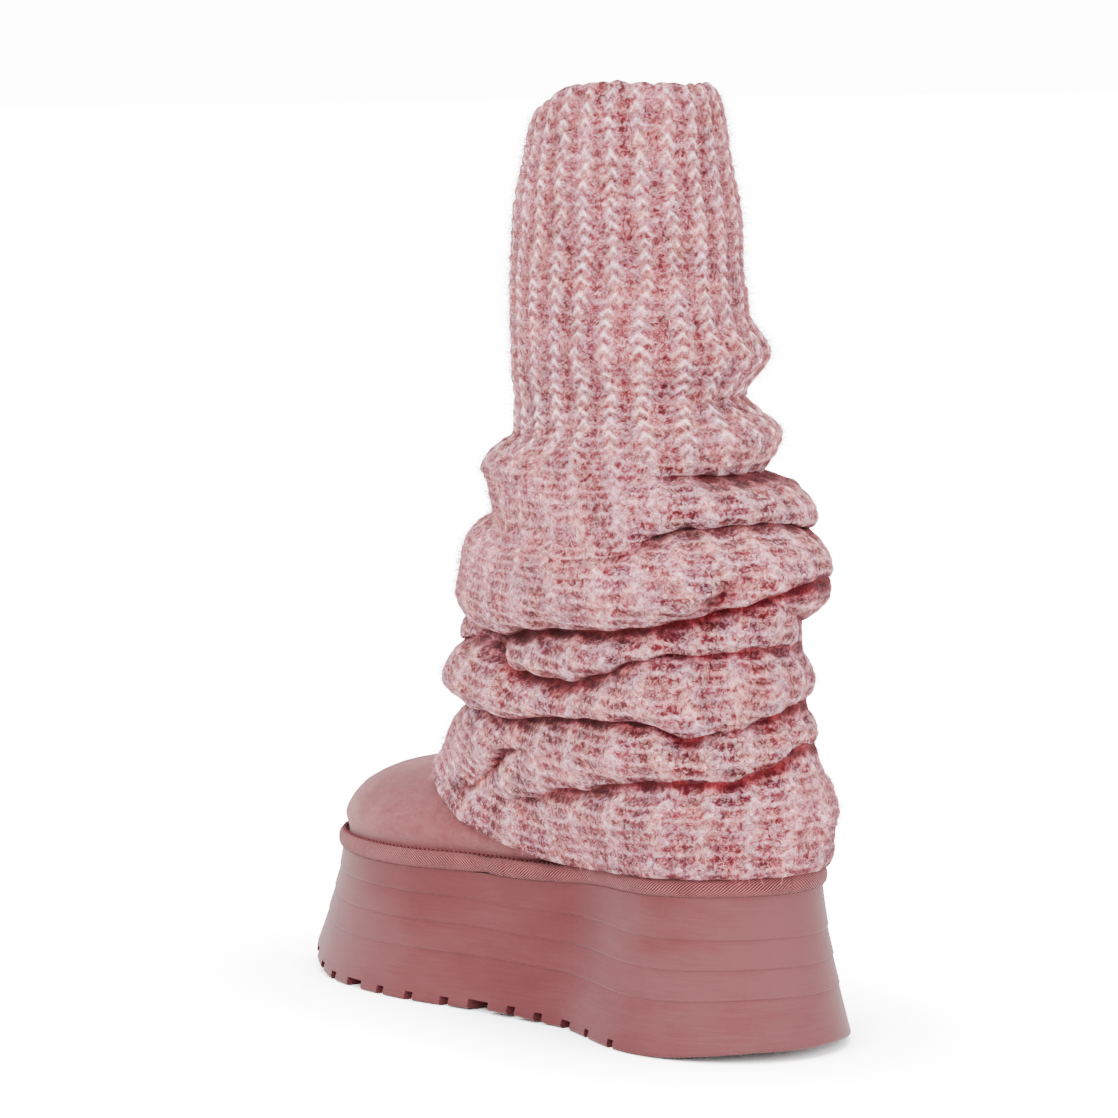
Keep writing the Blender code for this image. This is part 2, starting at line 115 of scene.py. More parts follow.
# The knit tube
SHAFT_TOP = 350.0 * MM
SHAFT_DEPTH = 78.0 * MM
SHAFT_WIDTH = 66.0 * MM
SHAFT_ALONG = 88.0 * MM
SHAFT_ACROSS = 6.0 * MM
KNIT_WALL = 4.0 * MM
KNIT_CLEARANCE = 0.8 * MM
FOLD_FULLNESS = 14.0 * MM
HEM_LEVEL = 6.35
RIBS = 24
COURSE = 5.0 * MM
RIB_RELIEF = 1.15 * MM
STITCH_RELIEF = 0.7 * MM
LUMP_RELIEF = 0.28 * MM
EDGE_ROLL = 2.4 * MM
EDGE_ROWS = 8
RIM_ROLL = 1.3
RIM_LEVELS = 1.6
RIM_RISE = 3.8 * MM
RIM_WAVE = 0.4 * MM
RIM_FRONT_DROP = 10.5 * MM
RIM_LATERAL_DROP = 3.5 * MM
RIB_COLUMNS = 16
KNIT_ROWS = 540
BAND_CUTS = (190, 372)
INNER_RIB_COLUMNS = 6
INNER_ROWS = 120

# A crease: how far its roll reaches above it and its slope below it, how much of its depth draws
# the cloth in or lets it droop, and how far its shade spreads
ROLL_REACH = 12.5 * MM
ROLL_CURVE = 0.72
SLOPE_REACH = 17.0 * MM
SLOPE_CURVE = 2.1
DRAW_IN = 1.45
DROOP = 0.42
DROOP_REACH = 5.0 * MM
FULL_CREASE = 8.5 * MM
HOLLOW_ABOVE = 2.8 * MM
HOLLOW_BELOW = 4.4 * MM
VALLEY_REACH = 8.0 * MM
WANDER = 1.3 * MM

# Loose fibres on the knit
HAIR_COUNT = 42000
HAIR_LENGTH = 4.2 * MM
HAIR_LIFT = 2.1 * MM
HAIR_WIDTH = 0.10 * MM
HAIR_SEED = 31

# Plan of the last's bottom edge. Columns: share of the length; half width on the lateral side as
# shares of the heel and ball widths; the same on the medial side; shift of the centre.
PLAN = [
    (0.00, 0.50, 0.000, 0.50, 0.000, 0.000),
    (0.14, 0.50, 0.000, 0.50, 0.000, 0.000),
    (0.37, 0.50, 0.000, 0.00, 0.300, 0.000),
    (0.55, 0.00, 0.465, 0.00, 0.408, 0.000),
    (0.70, 0.00, 0.488, 0.00, 0.506, 0.008),
    (0.84, 0.00, 0.460, 0.00, 0.523, 0.020),
    (1.00, 0.00, 0.410, 0.00, 0.500, 0.056),
]

# Top of the sole. Columns: share of the length; shares of the heel, waist and toe heights.
BED = [
    (0.00, 1.0, 0.0, 0.0),
    (0.22, 0.55, 0.45, 0.0),
    (0.50, 0.0, 1.0, 0.0),
    (0.75, 0.0, 0.3, 0.7),
    (1.00, 0.0, 0.0, 1.0),
]

# Underside of the sole. Columns: share of the length; shares of heel bevel, arch rise, toe spring.
UNDERSIDE = [
    (-0.05, 1.3, 0.0, 0.0),
    (0.00, 0.75, 0.0, 0.0),
    (0.07, 0.12, 0.0, 0.0),
    (0.12, 0.0, 0.0, 0.0),
    (0.30, 0.0, 0.0, 0.0),
    (0.45, 0.0, 1.0, 0.0),
    (0.60, 0.0, 0.0, 0.0),
    (0.84, 0.0, 0.0, 0.0),
    (0.92, 0.0, 0.0, 0.22),
    (1.00, 0.0, 0.0, 0.85),
    (1.05, 0.0, 0.0, 1.15),
]

# Fine steps around the sole's side: how far down each lies at the heel, the middle and the toe.
SIDE_LINES = [
    (0.28, 0.20, 0.17),
    (0.47, 0.40, 0.38),
    (0.66, 0.61, 0.60),
]

# Slots between the lugs: share of the last's length, width as a share of the lug depth.
SLOTS = [
    (0.955, 1.2), (0.90, 1.1), (0.845, 1.2), (0.775, 2.8), (0.705, 1.1), (0.640, 1.1),
    (0.570, 1.2), (0.500, 3.0), (0.430, 1.2), (0.375, 1.1), (0.315, 1.7), (0.245, 1.0),
    (0.165, 1.1),
]

# The foot's rings from the bottom edge to the collar. Columns: back end along; its height as a
# share of the collar height; front end along; its height as shares of the toe, instep and collar
# heights; how late the ring climbs; blend from the foot's plan to the ankle's oval.
FOOT_RINGS = [
    (0.000, 0.003, 1.000, 0.010, 0.00, 0.00, 1.0, 0.00),
    (0.000, 0.026, 1.000, 0.232, 0.00, 0.00, 1.0, 0.00),
    (0.000, 0.043, 0.994, 0.46, 0.00, 0.00, 2.0, 0.00),
    (0.000, 0.055, 0.968, 0.74, 0.00, 0.00, 3.0, 0.00),
    (0.000, 0.064, 0.915, 0.96, 0.00, 0.00, 3.8, 0.02),
    (0.000, 0.073, 0.835, 1.10, 0.00, 0.00, 4.4, 0.05),
    (0.000, 0.084, 0.752, 0.86, 0.20, 0.00, 4.6, 0.09),
    (0.000, 0.130, 0.720, 0.56, 0.44, 0.00, 3.4, 0.20),
    (0.002, 0.220, 0.691, 0.25, 0.75, 0.00, 2.5, 0.40),
    (0.016, 0.360, 0.660, 0.00, 1.07, 0.00, 1.8, 0.62),
    (0.045, 0.530, 0.634, 0.00, 0.57, 0.42, 1.4, 0.82),
    (0.060, 0.740, 0.613, 0.00, 0.20, 0.78, 1.15, 0.95),
    (0.068, 0.960, 0.602, 0.00, 0.00, 1.04, 1.0, 1.00),
]

# The slack tube above the collar. Columns: way up; blend of the centre; deeper; wider.
LEG_RINGS = [
    (0.13, 0.45, 0.30, 0.16),
    (0.27, 0.75, 0.10, 0.05),
    (0.41, 0.92, -0.01, -0.01),
    (0.58, 1.00, 0.00, 0.00),
    (0.74, 1.00, -0.07, -0.07),
    (0.87, 1.00, -0.21, -0.21),
    (1.00, 1.00, -0.31, -0.33),
]

# How far the slouched knit stands off. Columns: height as a share of the top's; share of the fold
# fullness at the back, the medial side, the front and the lateral side.
FULLNESS = [
    (0.175, 0.00, 0.00, 0.00, 0.00),
    (0.210, 0.00, 0.20, 0.00, 0.04),
    (0.245, 0.12, 0.45, 0.00, 0.30),
    (0.285, 0.12, 0.62, 0.06, 0.32),
    (0.320, 0.38, 0.70, 0.45, 0.66),
    (0.360, 0.38, 0.98, 1.06, 0.66),
    (0.400, 0.36, 0.94, 1.06, 0.66),
    (0.455, 0.50, 1.02, 1.10, 0.66),
    (0.495, 1.30, 1.05, 1.10, 1.55),
    (0.520, 1.18, 0.95, 0.95, 1.40),
    (0.545, 1.15, 0.45, 0.45, 1.45),
    (0.585, 1.12, 0.60, 0.60, 1.36),
    (0.605, 0.55, 0.74, 0.74, 0.66),
    (0.620, 0.52, 0.62, 0.62, 0.62),
    (0.645, 0.74, 0.16, 0.16, 0.82),
    (0.670, 0.40, 0.00, 0.00, 0.45),
    (0.700, 0.20, 0.00, 0.00, 0.24),
    (0.735, 0.62, 0.00, 0.00, 0.70),
    (0.775, 0.20, 0.00, 0.00, 0.20),
    (0.820, 0.06, 0.04, 0.04, 0.10),
    (0.900, 0.22, 0.14, 0.20, 0.24),
    (1.000, 0.26, 0.20, 0.30, 0.26),
]

# Creases of the slouched knit, each a path around the tube. Columns: turn from the back of the
# tube, positive towards the medial side; height as a share of the top's; depth in millimetres.
CREASES = [
    [(-180, 0.664, 1.5), (-110, 0.672, 2.5), (-36, 0.688, 3.0), (40, 0.694, 1.0),
     (120, 0.683, 2.0), (180, 0.664, 1.5)],
    [(-110, 0.598, 0.0), (-70, 0.596, 6.0), (-24, 0.602, 7.5), (1, 0.604, 7.0), (22, 0.607, 4.5),
     (44, 0.614, 0.0)],
    [(30, 0.668, 0.0), (54, 0.672, 2.2), (75, 0.659, 2.8), (115, 0.641, 3.5), (150, 0.632, 3.0),
     (180, 0.622, 0.0)],
    [(-180, 0.560, 5.0), (-120, 0.566, 5.0), (-80, 0.546, 8.0), (-42, 0.541, 9.5),
     (-7, 0.552, 8.5), (18, 0.551, 8.5), (38, 0.538, 7.0), (53, 0.524, 4.0), (72, 0.512, 0.0)],
    [(-180, 0.462, 7.0), (-130, 0.476, 7.0), (-80, 0.500, 8.5), (-27, 0.497, 9.0),
     (3, 0.484, 9.5), (12, 0.476, 9.5), (37, 0.463, 10.0), (65, 0.451, 10.5), (91, 0.446, 10.5),
     (119, 0.433, 9.5), (150, 0.440, 8.0), (180, 0.462, 7.0)],
    [(-110, 0.452, 0.0), (-80, 0.450, 5.0), (-55, 0.451, 6.5), (-32, 0.457, 6.0), (-14, 0.467, 4.0),
     (2, 0.478, 0.0)],
    [(4, 0.512, 0.0), (14, 0.504, 5.0), (24, 0.490, 5.5), (34, 0.476, 3.0), (40, 0.470, 0.0)],
    [(-180, 0.386, 7.0), (-130, 0.400, 6.0), (-80, 0.418, 6.5), (-18, 0.426, 7.0),
     (7, 0.427, 7.0), (27, 0.421, 7.5), (41, 0.424, 6.0), (52, 0.417, 6.0), (65, 0.400, 8.5),
     (81, 0.391, 10.0), (101, 0.395, 9.5), (118, 0.414, 6.0), (150, 0.400, 6.5),
     (180, 0.386, 7.0)],
    [(-180, 0.330, 6.0), (-130, 0.345, 7.0), (-70, 0.360, 7.0), (-18, 0.361, 8.0),
     (2, 0.352, 8.5), (12, 0.344, 5.0), (19, 0.340, 2.5), (27, 0.337, 6.0), (36, 0.335, 11.5),
     (49, 0.350, 9.0),
     (67, 0.349, 8.5), (105, 0.339, 9.5), (140, 0.334, 8.0), (180, 0.330, 6.0)],
    [(-180, 0.280, 0.0), (-140, 0.292, 4.0), (-70, 0.312, 7.0), (-12, 0.311, 8.5),
     (2, 0.301, 8.5), (13, 0.292, 9.0), (24, 0.284, 9.5), (40, 0.286, 10.0), (57, 0.283, 9.5),
     (75, 0.272, 8.5), (90, 0.260, 6.5), (109, 0.240, 4.0), (128, 0.228, 0.0)],
    [(96, 0.302, 0.0), (112, 0.296, 6.0), (121, 0.270, 7.0), (131, 0.236, 6.0),
     (150, 0.228, 0.0)],
]

# The insole's edge from below: share of the way out from its middle, share of its thickness
INSOLE_EDGE = [(0, 0), (0.5, 0), (1, 0), (1, 0.25), (1, 0.5), (0.995, 0.75), (0.985, 0.9),
               (0.96, 0.99)]

# Camera and lights
CAMERA_AT = (1.0958, 1.5464, 0.3839)
CAMERA_AIM = (0.0063, -0.0055, 0.1705)
CAMERA_LENS = 160.7
ROOM_LIGHT = 2.55
PAGE_LIGHT = 14.0
FLOOR_LIFT = 13.0
# Painted contact shadow on the floor: how far it reaches and how steeply it fades
FLOOR_SHADE_REACH = 0.085
FLOOR_SHADE_CURVE = 2.7

# Lamps: name, place, size, power
LAMPS = [
    ("key_light", (1.9, 0.5, 1.7), 1.3, 132),
    ("fill_light", (-0.6, 2.4, 1.1), 1.4, 96),
    ("top_light", (0.0, 0.0, 2.4), 1.6, 86),
]


def read(table, share, column):
    """Values of a table's column at an array of shares, through its rows without overshoot."""
    at = np.array([row[0] for row in table], float)
    value = np.array([row[column] for row in table], float)
    share = np.clip(np.asarray(share, float), at[0], at[-1])
    slope = np.diff(value) / np.diff(at)
    before, after = slope[:-1], slope[1:]
    total = np.where(before + after == 0, 1.0, before + after)
    inner = np.where(before * after > 0, 2 * before * after / total, 0.0)
    tangent = np.concatenate(([slope[0]], inner, [slope[-1]]))
    i = np.clip(np.searchsorted(at, share, side="right") - 1, 0, len(at) - 2)
    span = at[i + 1] - at[i]
    t = (share - at[i]) / span
    return ((2 * t ** 3 - 3 * t ** 2 + 1) * value[i]
            + (t ** 3 - 2 * t ** 2 + t) * span * tangent[i]
            + (3 * t ** 2 - 2 * t ** 3) * value[i + 1]
            + (t ** 3 - t ** 2) * span * tangent[i + 1])


def mix(table, along, *lengths):
    """Sum of some lengths, each times its share in a table at places along the last."""
    return sum(read(table, along / LAST_LENGTH, k) * length for k, length in enumerate(lengths, 1))


def bed_height(along):
    return mix(BED, along, HEEL_SOLE_HEIGHT, WAIST_SOLE_HEIGHT, TOE_SOLE_HEIGHT)


def underside_height(along):
    return mix(UNDERSIDE, along, HEEL_BEVEL, ARCH_RISE, TOE_SPRING)


def end_rounding(from_back, from_front):
    heel = np.clip(1 - from_back / HEEL_ROUND, 0.0, 1.0)
    toe = np.clip(1 - from_front / TOE_ROUND, 0.0, 1.0)
    return (1 - heel ** 2) ** (1 / 2) * (1 - toe ** TOE_CURVE) ** (1 / TOE_CURVE)


def plan_half(along, side):
    lateral = mix(PLAN, along, HEEL_WIDTH, BALL_WIDTH)
    return np.where(side > 0, mix(PLAN, along, 0, 0, HEEL_WIDTH, BALL_WIDTH), lateral)


def plan_centre(along):
    return read(PLAN, along / LAST_LENGTH, 5) * BALL_WIDTH


def smooth(t):
    t = np.clip(t, 0.0, 1.0)
    return t * t * (3 - 2 * t)


def wave(turns):
    """From 1 to 0 and back in each turn."""
    return 0.5 + 0.5 * np.cos(2 * np.pi * turns)


def foot_columns(heel_steps, side_steps, toe_steps):
    """Shares and sides around the foot: up the medial side and back down the lateral side."""
    up = np.concatenate((
        HEEL_SHARE * (1 - np.cos(np.pi / 2 * np.arange(heel_steps) / heel_steps)),
        HEEL_SHARE + (1 - HEEL_SHARE - TOE_SHARE) * np.arange(side_steps) / side_steps,
        1 - TOE_SHARE * (1 - np.sin(np.pi / 2 * np.arange(toe_steps + 1) / toe_steps))))
    shares = np.concatenate((up[:-1], up[:0:-1]))
    sides = np.concatenate((np.ones(len(up) - 1), -np.ones(len(up) - 1)))
    return shares, sides


def leg_columns(count):
    """Shares and sides at even turns around the leg's oval."""
    turn = 2 * np.pi * np.arange(count) / count
    return (1 - np.cos(turn)) / 2, np.where(turn < np.pi, 1.0, -1.0)


def turn_of(shares, sides):
    """Turn around the tube in degrees from its back, positive on the medial side."""
    in_heel = HEEL_TURN * np.arccos(np.clip(1 - shares / HEEL_SHARE, -1, 1)) / (np.pi / 2)
    in_side = HEEL_TURN + SIDE_TURN * (shares - HEEL_SHARE) / (1 - HEEL_SHARE - TOE_SHARE)
    to_tip = np.arcsin(np.clip(1 - (1 - shares) / TOE_SHARE, 0, 1)) / (np.pi / 2)
    in_toe = 180 - TOE_TURN + TOE_TURN * to_tip
    turn = np.where(shares < HEEL_SHARE, in_heel,
                    np.where(shares < 1 - TOE_SHARE, in_side, in_toe))
    return turn * sides


def unit(vectors):
    return vectors / np.maximum(np.linalg.norm(vectors, axis=-1, keepdims=True), 1e-12)


def outline(out, shares, sides):
    """Across and along of the last's bottom edge, moved outwards by a distance."""
    along = shares * LAST_LENGTH
    half = plan_half(along, sides) * end_rounding(along, LAST_LENGTH - along)
    points = np.stack((plan_centre(along) + sides * half, along), axis=1)
    tangent = np.roll(points, -1, axis=0) - np.roll(points, 1, axis=0)
    return points + unit(np.stack((tangent[:, 1], -tangent[:, 0]), axis=1)) * out


def spine_of(ring):
    """Middle line of a closed outline: the same point for a column and its mirror column."""
    mirror = np.roll(ring[::-1], 1, axis=0)
    middle = (ring + mirror) / 2
    ends = ring[:, 1].min() + SPINE_BACK, ring[:, 1].max() - SPINE_FRONT
    inside = (middle[:, 1] > ends[0]) & (middle[:, 1] < ends[1])
    heel, toe = middle[inside][0], middle[np.argmin(np.abs(middle[:, 1] - ends[1]))]
    middle = np.where((middle[:, 1] <= ends[0])[:, None], heel, middle)
    return np.where((middle[:, 1] >= ends[1])[:, None], toe, middle)


def ring_table():
    """The foot's and the leg's rings as one table by level."""
    rows = []
    for back, back_height, front, toe, instep, collar, late, blend in FOOT_RINGS:
        front_height = toe * TOE_HEIGHT + instep * INSTEP_HEIGHT + collar * COLLAR_HEIGHT
        rows.append((back * LAST_LENGTH, back_height * COLLAR_HEIGHT, front * LAST_LENGTH,
                     front_height, late, blend, ANKLE_WIDTH / 2, 0.0))
    back, back_height, front, front_height = rows[-1][:4]
    collar_centre, collar_height = (back + front) / 2, (back_height + front_height) / 2
    leg_bed = float(bed_height(SHAFT_ALONG))
    for up, shift, deeper, wider in LEG_RINGS:
        centre = collar_centre + (SHAFT_ALONG - collar_centre) * shift
        half = SHAFT_DEPTH / 2 * (1 + deeper)
        height = collar_height + (SHAFT_TOP - leg_bed - collar_height) * up
        back, front = (height + leg_bed - float(bed_height(at))
                       for at in (centre - half, centre + half))
        rows.append((centre - half, back, centre + half, front, 1.0, 1.0,
                     SHAFT_WIDTH / 2 * (1 + wider), SHAFT_ACROSS * shift))
    return [(k,) + row for k, row in enumerate(rows)]


RINGS = ring_table()
COLLAR_LEVEL = len(FOOT_RINGS) - 1
TOP_LEVEL = len(RINGS) - 1


def form_grid(levels, shares, sides):
    """Points of the foot and leg form, one row of points for each level."""
    values = [read(RINGS, levels, column)[:, None] for column in range(1, 9)]
    back, back_height, front, front_height, late, blend, half_width, shift = values
    share, side = shares[None, :], sides[None, :]
    height = back_height + (front_height - back_height) * share ** late
    swell = smooth((height - TAPE_HEIGHT - GAP) / TAPE_HEIGHT)
    bulge = UPPER_BULGE * swell * (1 - blend)
    along = back + (front - back) * share
    rounding = end_rounding(along - back, front - along)
    oval = half_width * np.sqrt(np.clip(1 - (2 * share - 1) ** 2, 0, 1))
    half = plan_half(along, side) * rounding * (1 - blend) + oval * blend + bulge * rounding
    centre = plan_centre(along) * (1 - blend) + shift
    along = along - bulge * (1 - 2 * share)
    return np.stack((centre + side * half, along, bed_height(along) + height), axis=2)


def outward(grid):
    """Unit normals of a grid of closed rings."""
    up = np.empty_like(grid)
    up[1:-1] = grid[2:] - grid[:-2]
    up[0] = grid[1] - grid[0]
    up[-1] = grid[-1] - grid[-2]
    around = np.roll(grid, -1, axis=1) - np.roll(grid, 1, axis=1)
    return unit(np.cross(around, up))


def patches(u, v, cells, seed):
    """Smooth random values from -1 to 1 on a lattice that closes after a count of cells."""
    lattice = np.random.RandomState(seed).uniform(-1, 1, (512, cells))
    i, j = np.floor(v).astype(int), np.floor(u).astype(int)
    s, t = smooth(v - i), smooth(u - j)
    low, high = (lattice[row % 512, j % cells] * (1 - t)
                 + lattice[row % 512, (j + 1) % cells] * t for row in (i, i + 1))
    return low * (1 - s) + high * s


def in_place(points):
    """From across, along and height to the frame's axes."""
    points = np.asarray(points, float)
    return np.stack((points[..., 0] + STAND_ACROSS, STAND_ALONG - points[..., 1],
                     points[..., 2]), axis=-1)


def as_mesh(name, shape):
    """A new mesh from an edit mesh, which is freed."""
    mesh = bpy.data.meshes.new(name)
    shape.to_mesh(mesh)
    shape.free()
    return mesh


def points_of(mesh):
    spot = np.empty(len(mesh.vertices) * 3)
    mesh.vertices.foreach_get("co", spot)
    return spot.reshape(-1, 3)


def put_mark(mesh, name, values):
    attribute = mesh.attributes.new(name, "FLOAT", "POINT")
    attribute.data.foreach_set("value", values.astype(np.float32))


def shaped_sheet(name, rings, uv, material, marks=()):
    """A piece from one flat grid: its rows and columns are moved to closed rings of points.

    uv and each mark's values hold one more column than the rings have, as the sheet does.
    """
    places = wrap(rings)
    rows, columns = places.shape[0] - 1, places.shape[1] - 1
    flat = bmesh.new()
    bmesh.ops.create_grid(flat, x_segments=columns, y_segments=rows, size=1.0)
    bmesh.ops.reverse_faces(flat, faces=flat.faces)
    mesh = as_mesh(name, flat)
    spot = points_of(mesh)
    column = np.rint((spot[:, 0] + 1) / 2 * columns).astype(int)
    row = np.rint((spot[:, 1] + 1) / 2 * rows).astype(int)
    mesh.vertices.foreach_set("co", in_place(places[row, column]).ravel())
    corner = np.empty(len(mesh.loops), dtype=np.int32)
    mesh.loops.foreach_get("vertex_index", corner)
    layer = mesh.uv_layers.new(name="lay")
    layer.data.foreach_set("uv", uv[row, column][corner].ravel())
    for mark, values in marks:
        put_mark(mesh, mark, values[row, column])
    joined = bmesh.new()
    joined.from_mesh(mesh)
    bmesh.ops.remove_doubles(joined, verts=joined.verts, dist=1e-6)
    joined.to_mesh(mesh)
    joined.free()
    return link(name, mesh, material)


def add(name, data):
    """A new object in the scene."""
    item = bpy.data.objects.new(name, data)
    bpy.context.scene.collection.objects.link(item)
    return item


def link(name, mesh, material):
    mesh.materials.append(material)
    mesh.shade_smooth()
    return add(name, mesh)


def settle(item):
    """Replace an object's mesh by what its modifiers make of it."""
    bpy.context.view_layer.update()
    graph = bpy.context.evaluated_depsgraph_get()
    made = bpy.data.meshes.new_from_object(item.evaluated_get(graph), depsgraph=graph)
    old = item.data
    item.modifiers.clear()
    item.data = made
    bpy.data.meshes.remove(old)


def copies(name, shape, count, step, material):
    """A piece of copies of a small shape in a row, a step apart, and the points of them all."""
    item = link(name, as_mesh(name, shape), material)
    row = item.modifiers.new("row", "ARRAY")
    row.count = count
    row.use_relative_offset = False
    row.use_constant_offset = True
    row.constant_offset_displace = (step, 0, 0)
    settle(item)
    return item, points_of(item.data)


def wrap(grid):
    """Repeat a closed grid's first column after its last."""
    return np.concatenate((grid, grid[:, :1]), axis=1)


def uv_grid(u, v):
    """Two coordinates for each point of a sheet from its columns' and its rows' values."""
    return np.stack(np.broadcast_arrays(u, v), axis=-1)


def even_uv(rings):
    """Coordinates from 0 to 1 around and along a sheet of closed rings."""
    rows, columns = rings.shape[:2]
    return uv_grid(np.arange(columns + 1)[None, :] / columns, np.arange(rows)[:, None] / rows)


# Materials

class Nodes:
    """Short calls for the nodes of a material or of the world."""

    def __init__(self, owner):
        owner.use_nodes = True
        self.tree = owner.node_tree

    def put(self, socket, value):
        if isinstance(value, bpy.types.NodeSocket):
            self.tree.links.new(value, socket)
        elif value is not None:
            socket.default_value = value

    def fill(self, node, **values):
        """Set inputs by name, with _ for a space."""
        for name, value in values.items():
            self.put(node.inputs[name.replace("_", " ")], value)
        return node

    def node(self, kind, **values):
        return self.fill(self.tree.nodes.new("ShaderNode" + kind), **values)

    def stretched(self, vector, scale, turn=0.0, shift=(0, 0, 0)):
        return self.node("Mapping", Vector=vector, Scale=scale, Location=shift,
                         Rotation=(0, 0, math.radians(turn))).outputs["Vector"]

    def noise(self, vector, scale, detail=3.0, rough=0.55, twist=0.0):
        return self.node("TexNoise", Vector=vector, Scale=scale, Detail=detail,
                         Roughness=rough, Distortion=twist).outputs["Fac"]

    def cells(self, vector, scale):
        return self.node("TexVoronoi", Vector=vector, Scale=scale).outputs["Distance"]

    def mark(self, name):
        node = self.node("Attribute")
        node.attribute_name = name
        return node.outputs["Fac"]

    def sum(self, operation, a, b=None, c=None):
        node = self.node("Math")
        node.operation = operation
        for socket, value in zip(node.inputs, (a, b, c)):
            self.put(socket, value)
        return node.outputs[0]

    def mixed(self, *parts, start=0.0):
        """Sum of some values, each times its share."""
        for value, share in parts:
            start = self.sum("MULTIPLY_ADD", value, share, start)
        return start

    def swing(self, tone, value, share, middle=0.5):
        """A tone moved up and down as a value swings about its middle."""
        return self.sum("MULTIPLY_ADD", self.sum("SUBTRACT", value, middle), share, tone)

    def between(self, value, low, high, out_low=0.0, out_high=1.0):
        node = self.node("MapRange")
        node.clamp = True
        for socket, number in zip(node.inputs, (value, low, high, out_low, out_high)):
            self.put(socket, number)
        return node.outputs[0]

    def colours(self, value, stops):
        node = self.node("ValToRGB", Fac=value)
        ramp = node.color_ramp
        while len(ramp.elements) < len(stops):
            ramp.elements.new(0.5)
        for element, (place, colour) in zip(ramp.elements, stops):
            element.position = place
            element.color = colour + (1.0,)
        return node.outputs[0]

    def blend(self, share, a, b, mode="MIX"):
        node = self.node("Mix")
        node.data_type = "RGBA"
        node.blend_type = mode
        self.put(node.inputs[0], share)
        for socket, colour in zip(node.inputs[6:8], (a, b)):
            self.put(socket, colour + (1.0,) if isinstance(colour, tuple) else colour)
        return node.outputs[2]

    def relief(self, height, strength, distance, below=None):
        return self.node("Bump", Height=height, Strength=strength, Distance=distance,
                         Normal=below).outputs[0]


class Finish(Nodes):
    """A material of procedural nodes on one shader."""

    def __init__(self, name, roughness, **values):
        self.material = bpy.data.materials.new(name)
        super().__init__(self.material)
        self.shader = self.tree.nodes["Principled BSDF"]
        self.fill(self.shader, Roughness=roughness, **values)
        lay = self.node("UVMap")
        lay.uv_map = "lay"
        self.lay = lay.outputs[0]
        self.point = self.node("TexCoord").outputs["Object"]

    def wear(self, colour, normal=None, roughness=None):
        self.fill(self.shader, Base_Color=colour, Normal=normal, Roughness=roughness)
        return self.material


def moulded_sole():
    """Matte foam with faint cloudy bands and fine streaks that run around the side, painted shade
    at the top of each band of the side, and a toe and heel painted paler, partly dusty bloom and
    partly painted sheen.
    """
    f = Finish("moulded_sole", 0.62, Specular_IOR_Level=0.13, Sheen_Weight=0.13,
               Sheen_Roughness=0.4, Sheen_Tint=(1.0, 0.85, 0.86, 1.0))
    cloud = f.noise(f.stretched(f.point, (16, 16, 34)), 1.0, 4.0, 0.55)
    streak = f.noise(f.stretched(f.point, (60, 60, 1500)), 1.0, 3.0, 0.6)
    fine = f.noise(f.point, 2200.0, 2.0, 0.6)
    # Toe and heel painted paler: partly dusty bloom, partly painted sheen of light grazing the
    # turned ends
    tone = f.mixed((cloud, 0.7), (streak, 0.2), (fine, 0.1), (f.mark("ends"), 0.19))
    # Painted shade at the top of each band of the side, under the tape and under each step
    tone = f.sum("SUBTRACT", tone, f.between(f.mark("band"), 0.0, 0.55, 0.05, 0.0))
    colour = f.colours(tone, [(0.36, (0.056, 0.009, 0.011)), (0.50, (0.066, 0.013, 0.015)),
                              (0.68, (0.079, 0.023, 0.025))])
    bump = f.relief(f.mixed((streak, 0.5), start=fine), 0.25, 0.12 * MM)
    return f.wear(colour, bump, f.between(cloud, 0.3, 0.7, 0.55, 0.70))


def suede():
    """Napped suede: brushed light and dark patches over fine short pile, painted lighter towards
    the bottom as fill light.
    """
    f = Finish("suede", 0.9, Sheen_Weight=0.2, Sheen_Roughness=0.45,
               Sheen_Tint=(0.95, 0.72, 0.70, 1.0), Specular_IOR_Level=0.13)
    brushed = f.noise(f.point, 42.0, 4.0, 0.6, 0.6)
    strokes = f.noise(f.stretched(f.point, (420, 160, 420), 24), 1.0, 4.0, 0.65)
    pile = f.noise(f.point, 2600.0, 3.0, 0.7)
    mottle = f.noise(f.point, 330.0, 4.0, 0.65, 0.5)
    # Painted fill light: the suede is lighter towards the bottom, where the knit and tape shade it
    tone = f.mixed((brushed, 0.40), (strokes, 0.15), (pile, 0.15), (mottle, 0.30),
                   (f.mark("low"), 0.16))
    colour = f.colours(tone, [(0.36, (0.063, 0.012, 0.014)), (0.50, (0.083, 0.018, 0.020)),
                              (0.66, (0.116, 0.034, 0.037))])
    return f.wear(colour, f.relief(pile, 0.5, 0.25 * MM, f.relief(strokes, 0.25, 0.5 * MM)))


def fleece(name="fleece"):
    """Short curly pile."""
    f = Finish(name, 0.95, Sheen_Weight=0.5, Sheen_Tint=(1.0, 0.9, 0.9, 1.0))
    tone = f.mixed((f.cells(f.point, 420.0), 0.6), (f.noise(f.point, 1500.0, 3.0, 0.7), 0.5))
    colour = f.colours(tone, [(0.25, (0.533, 0.400, 0.400)), (0.75, (0.413, 0.253, 0.260))])
    return f.wear(colour, f.relief(tone, 0.8, -1.2 * MM))


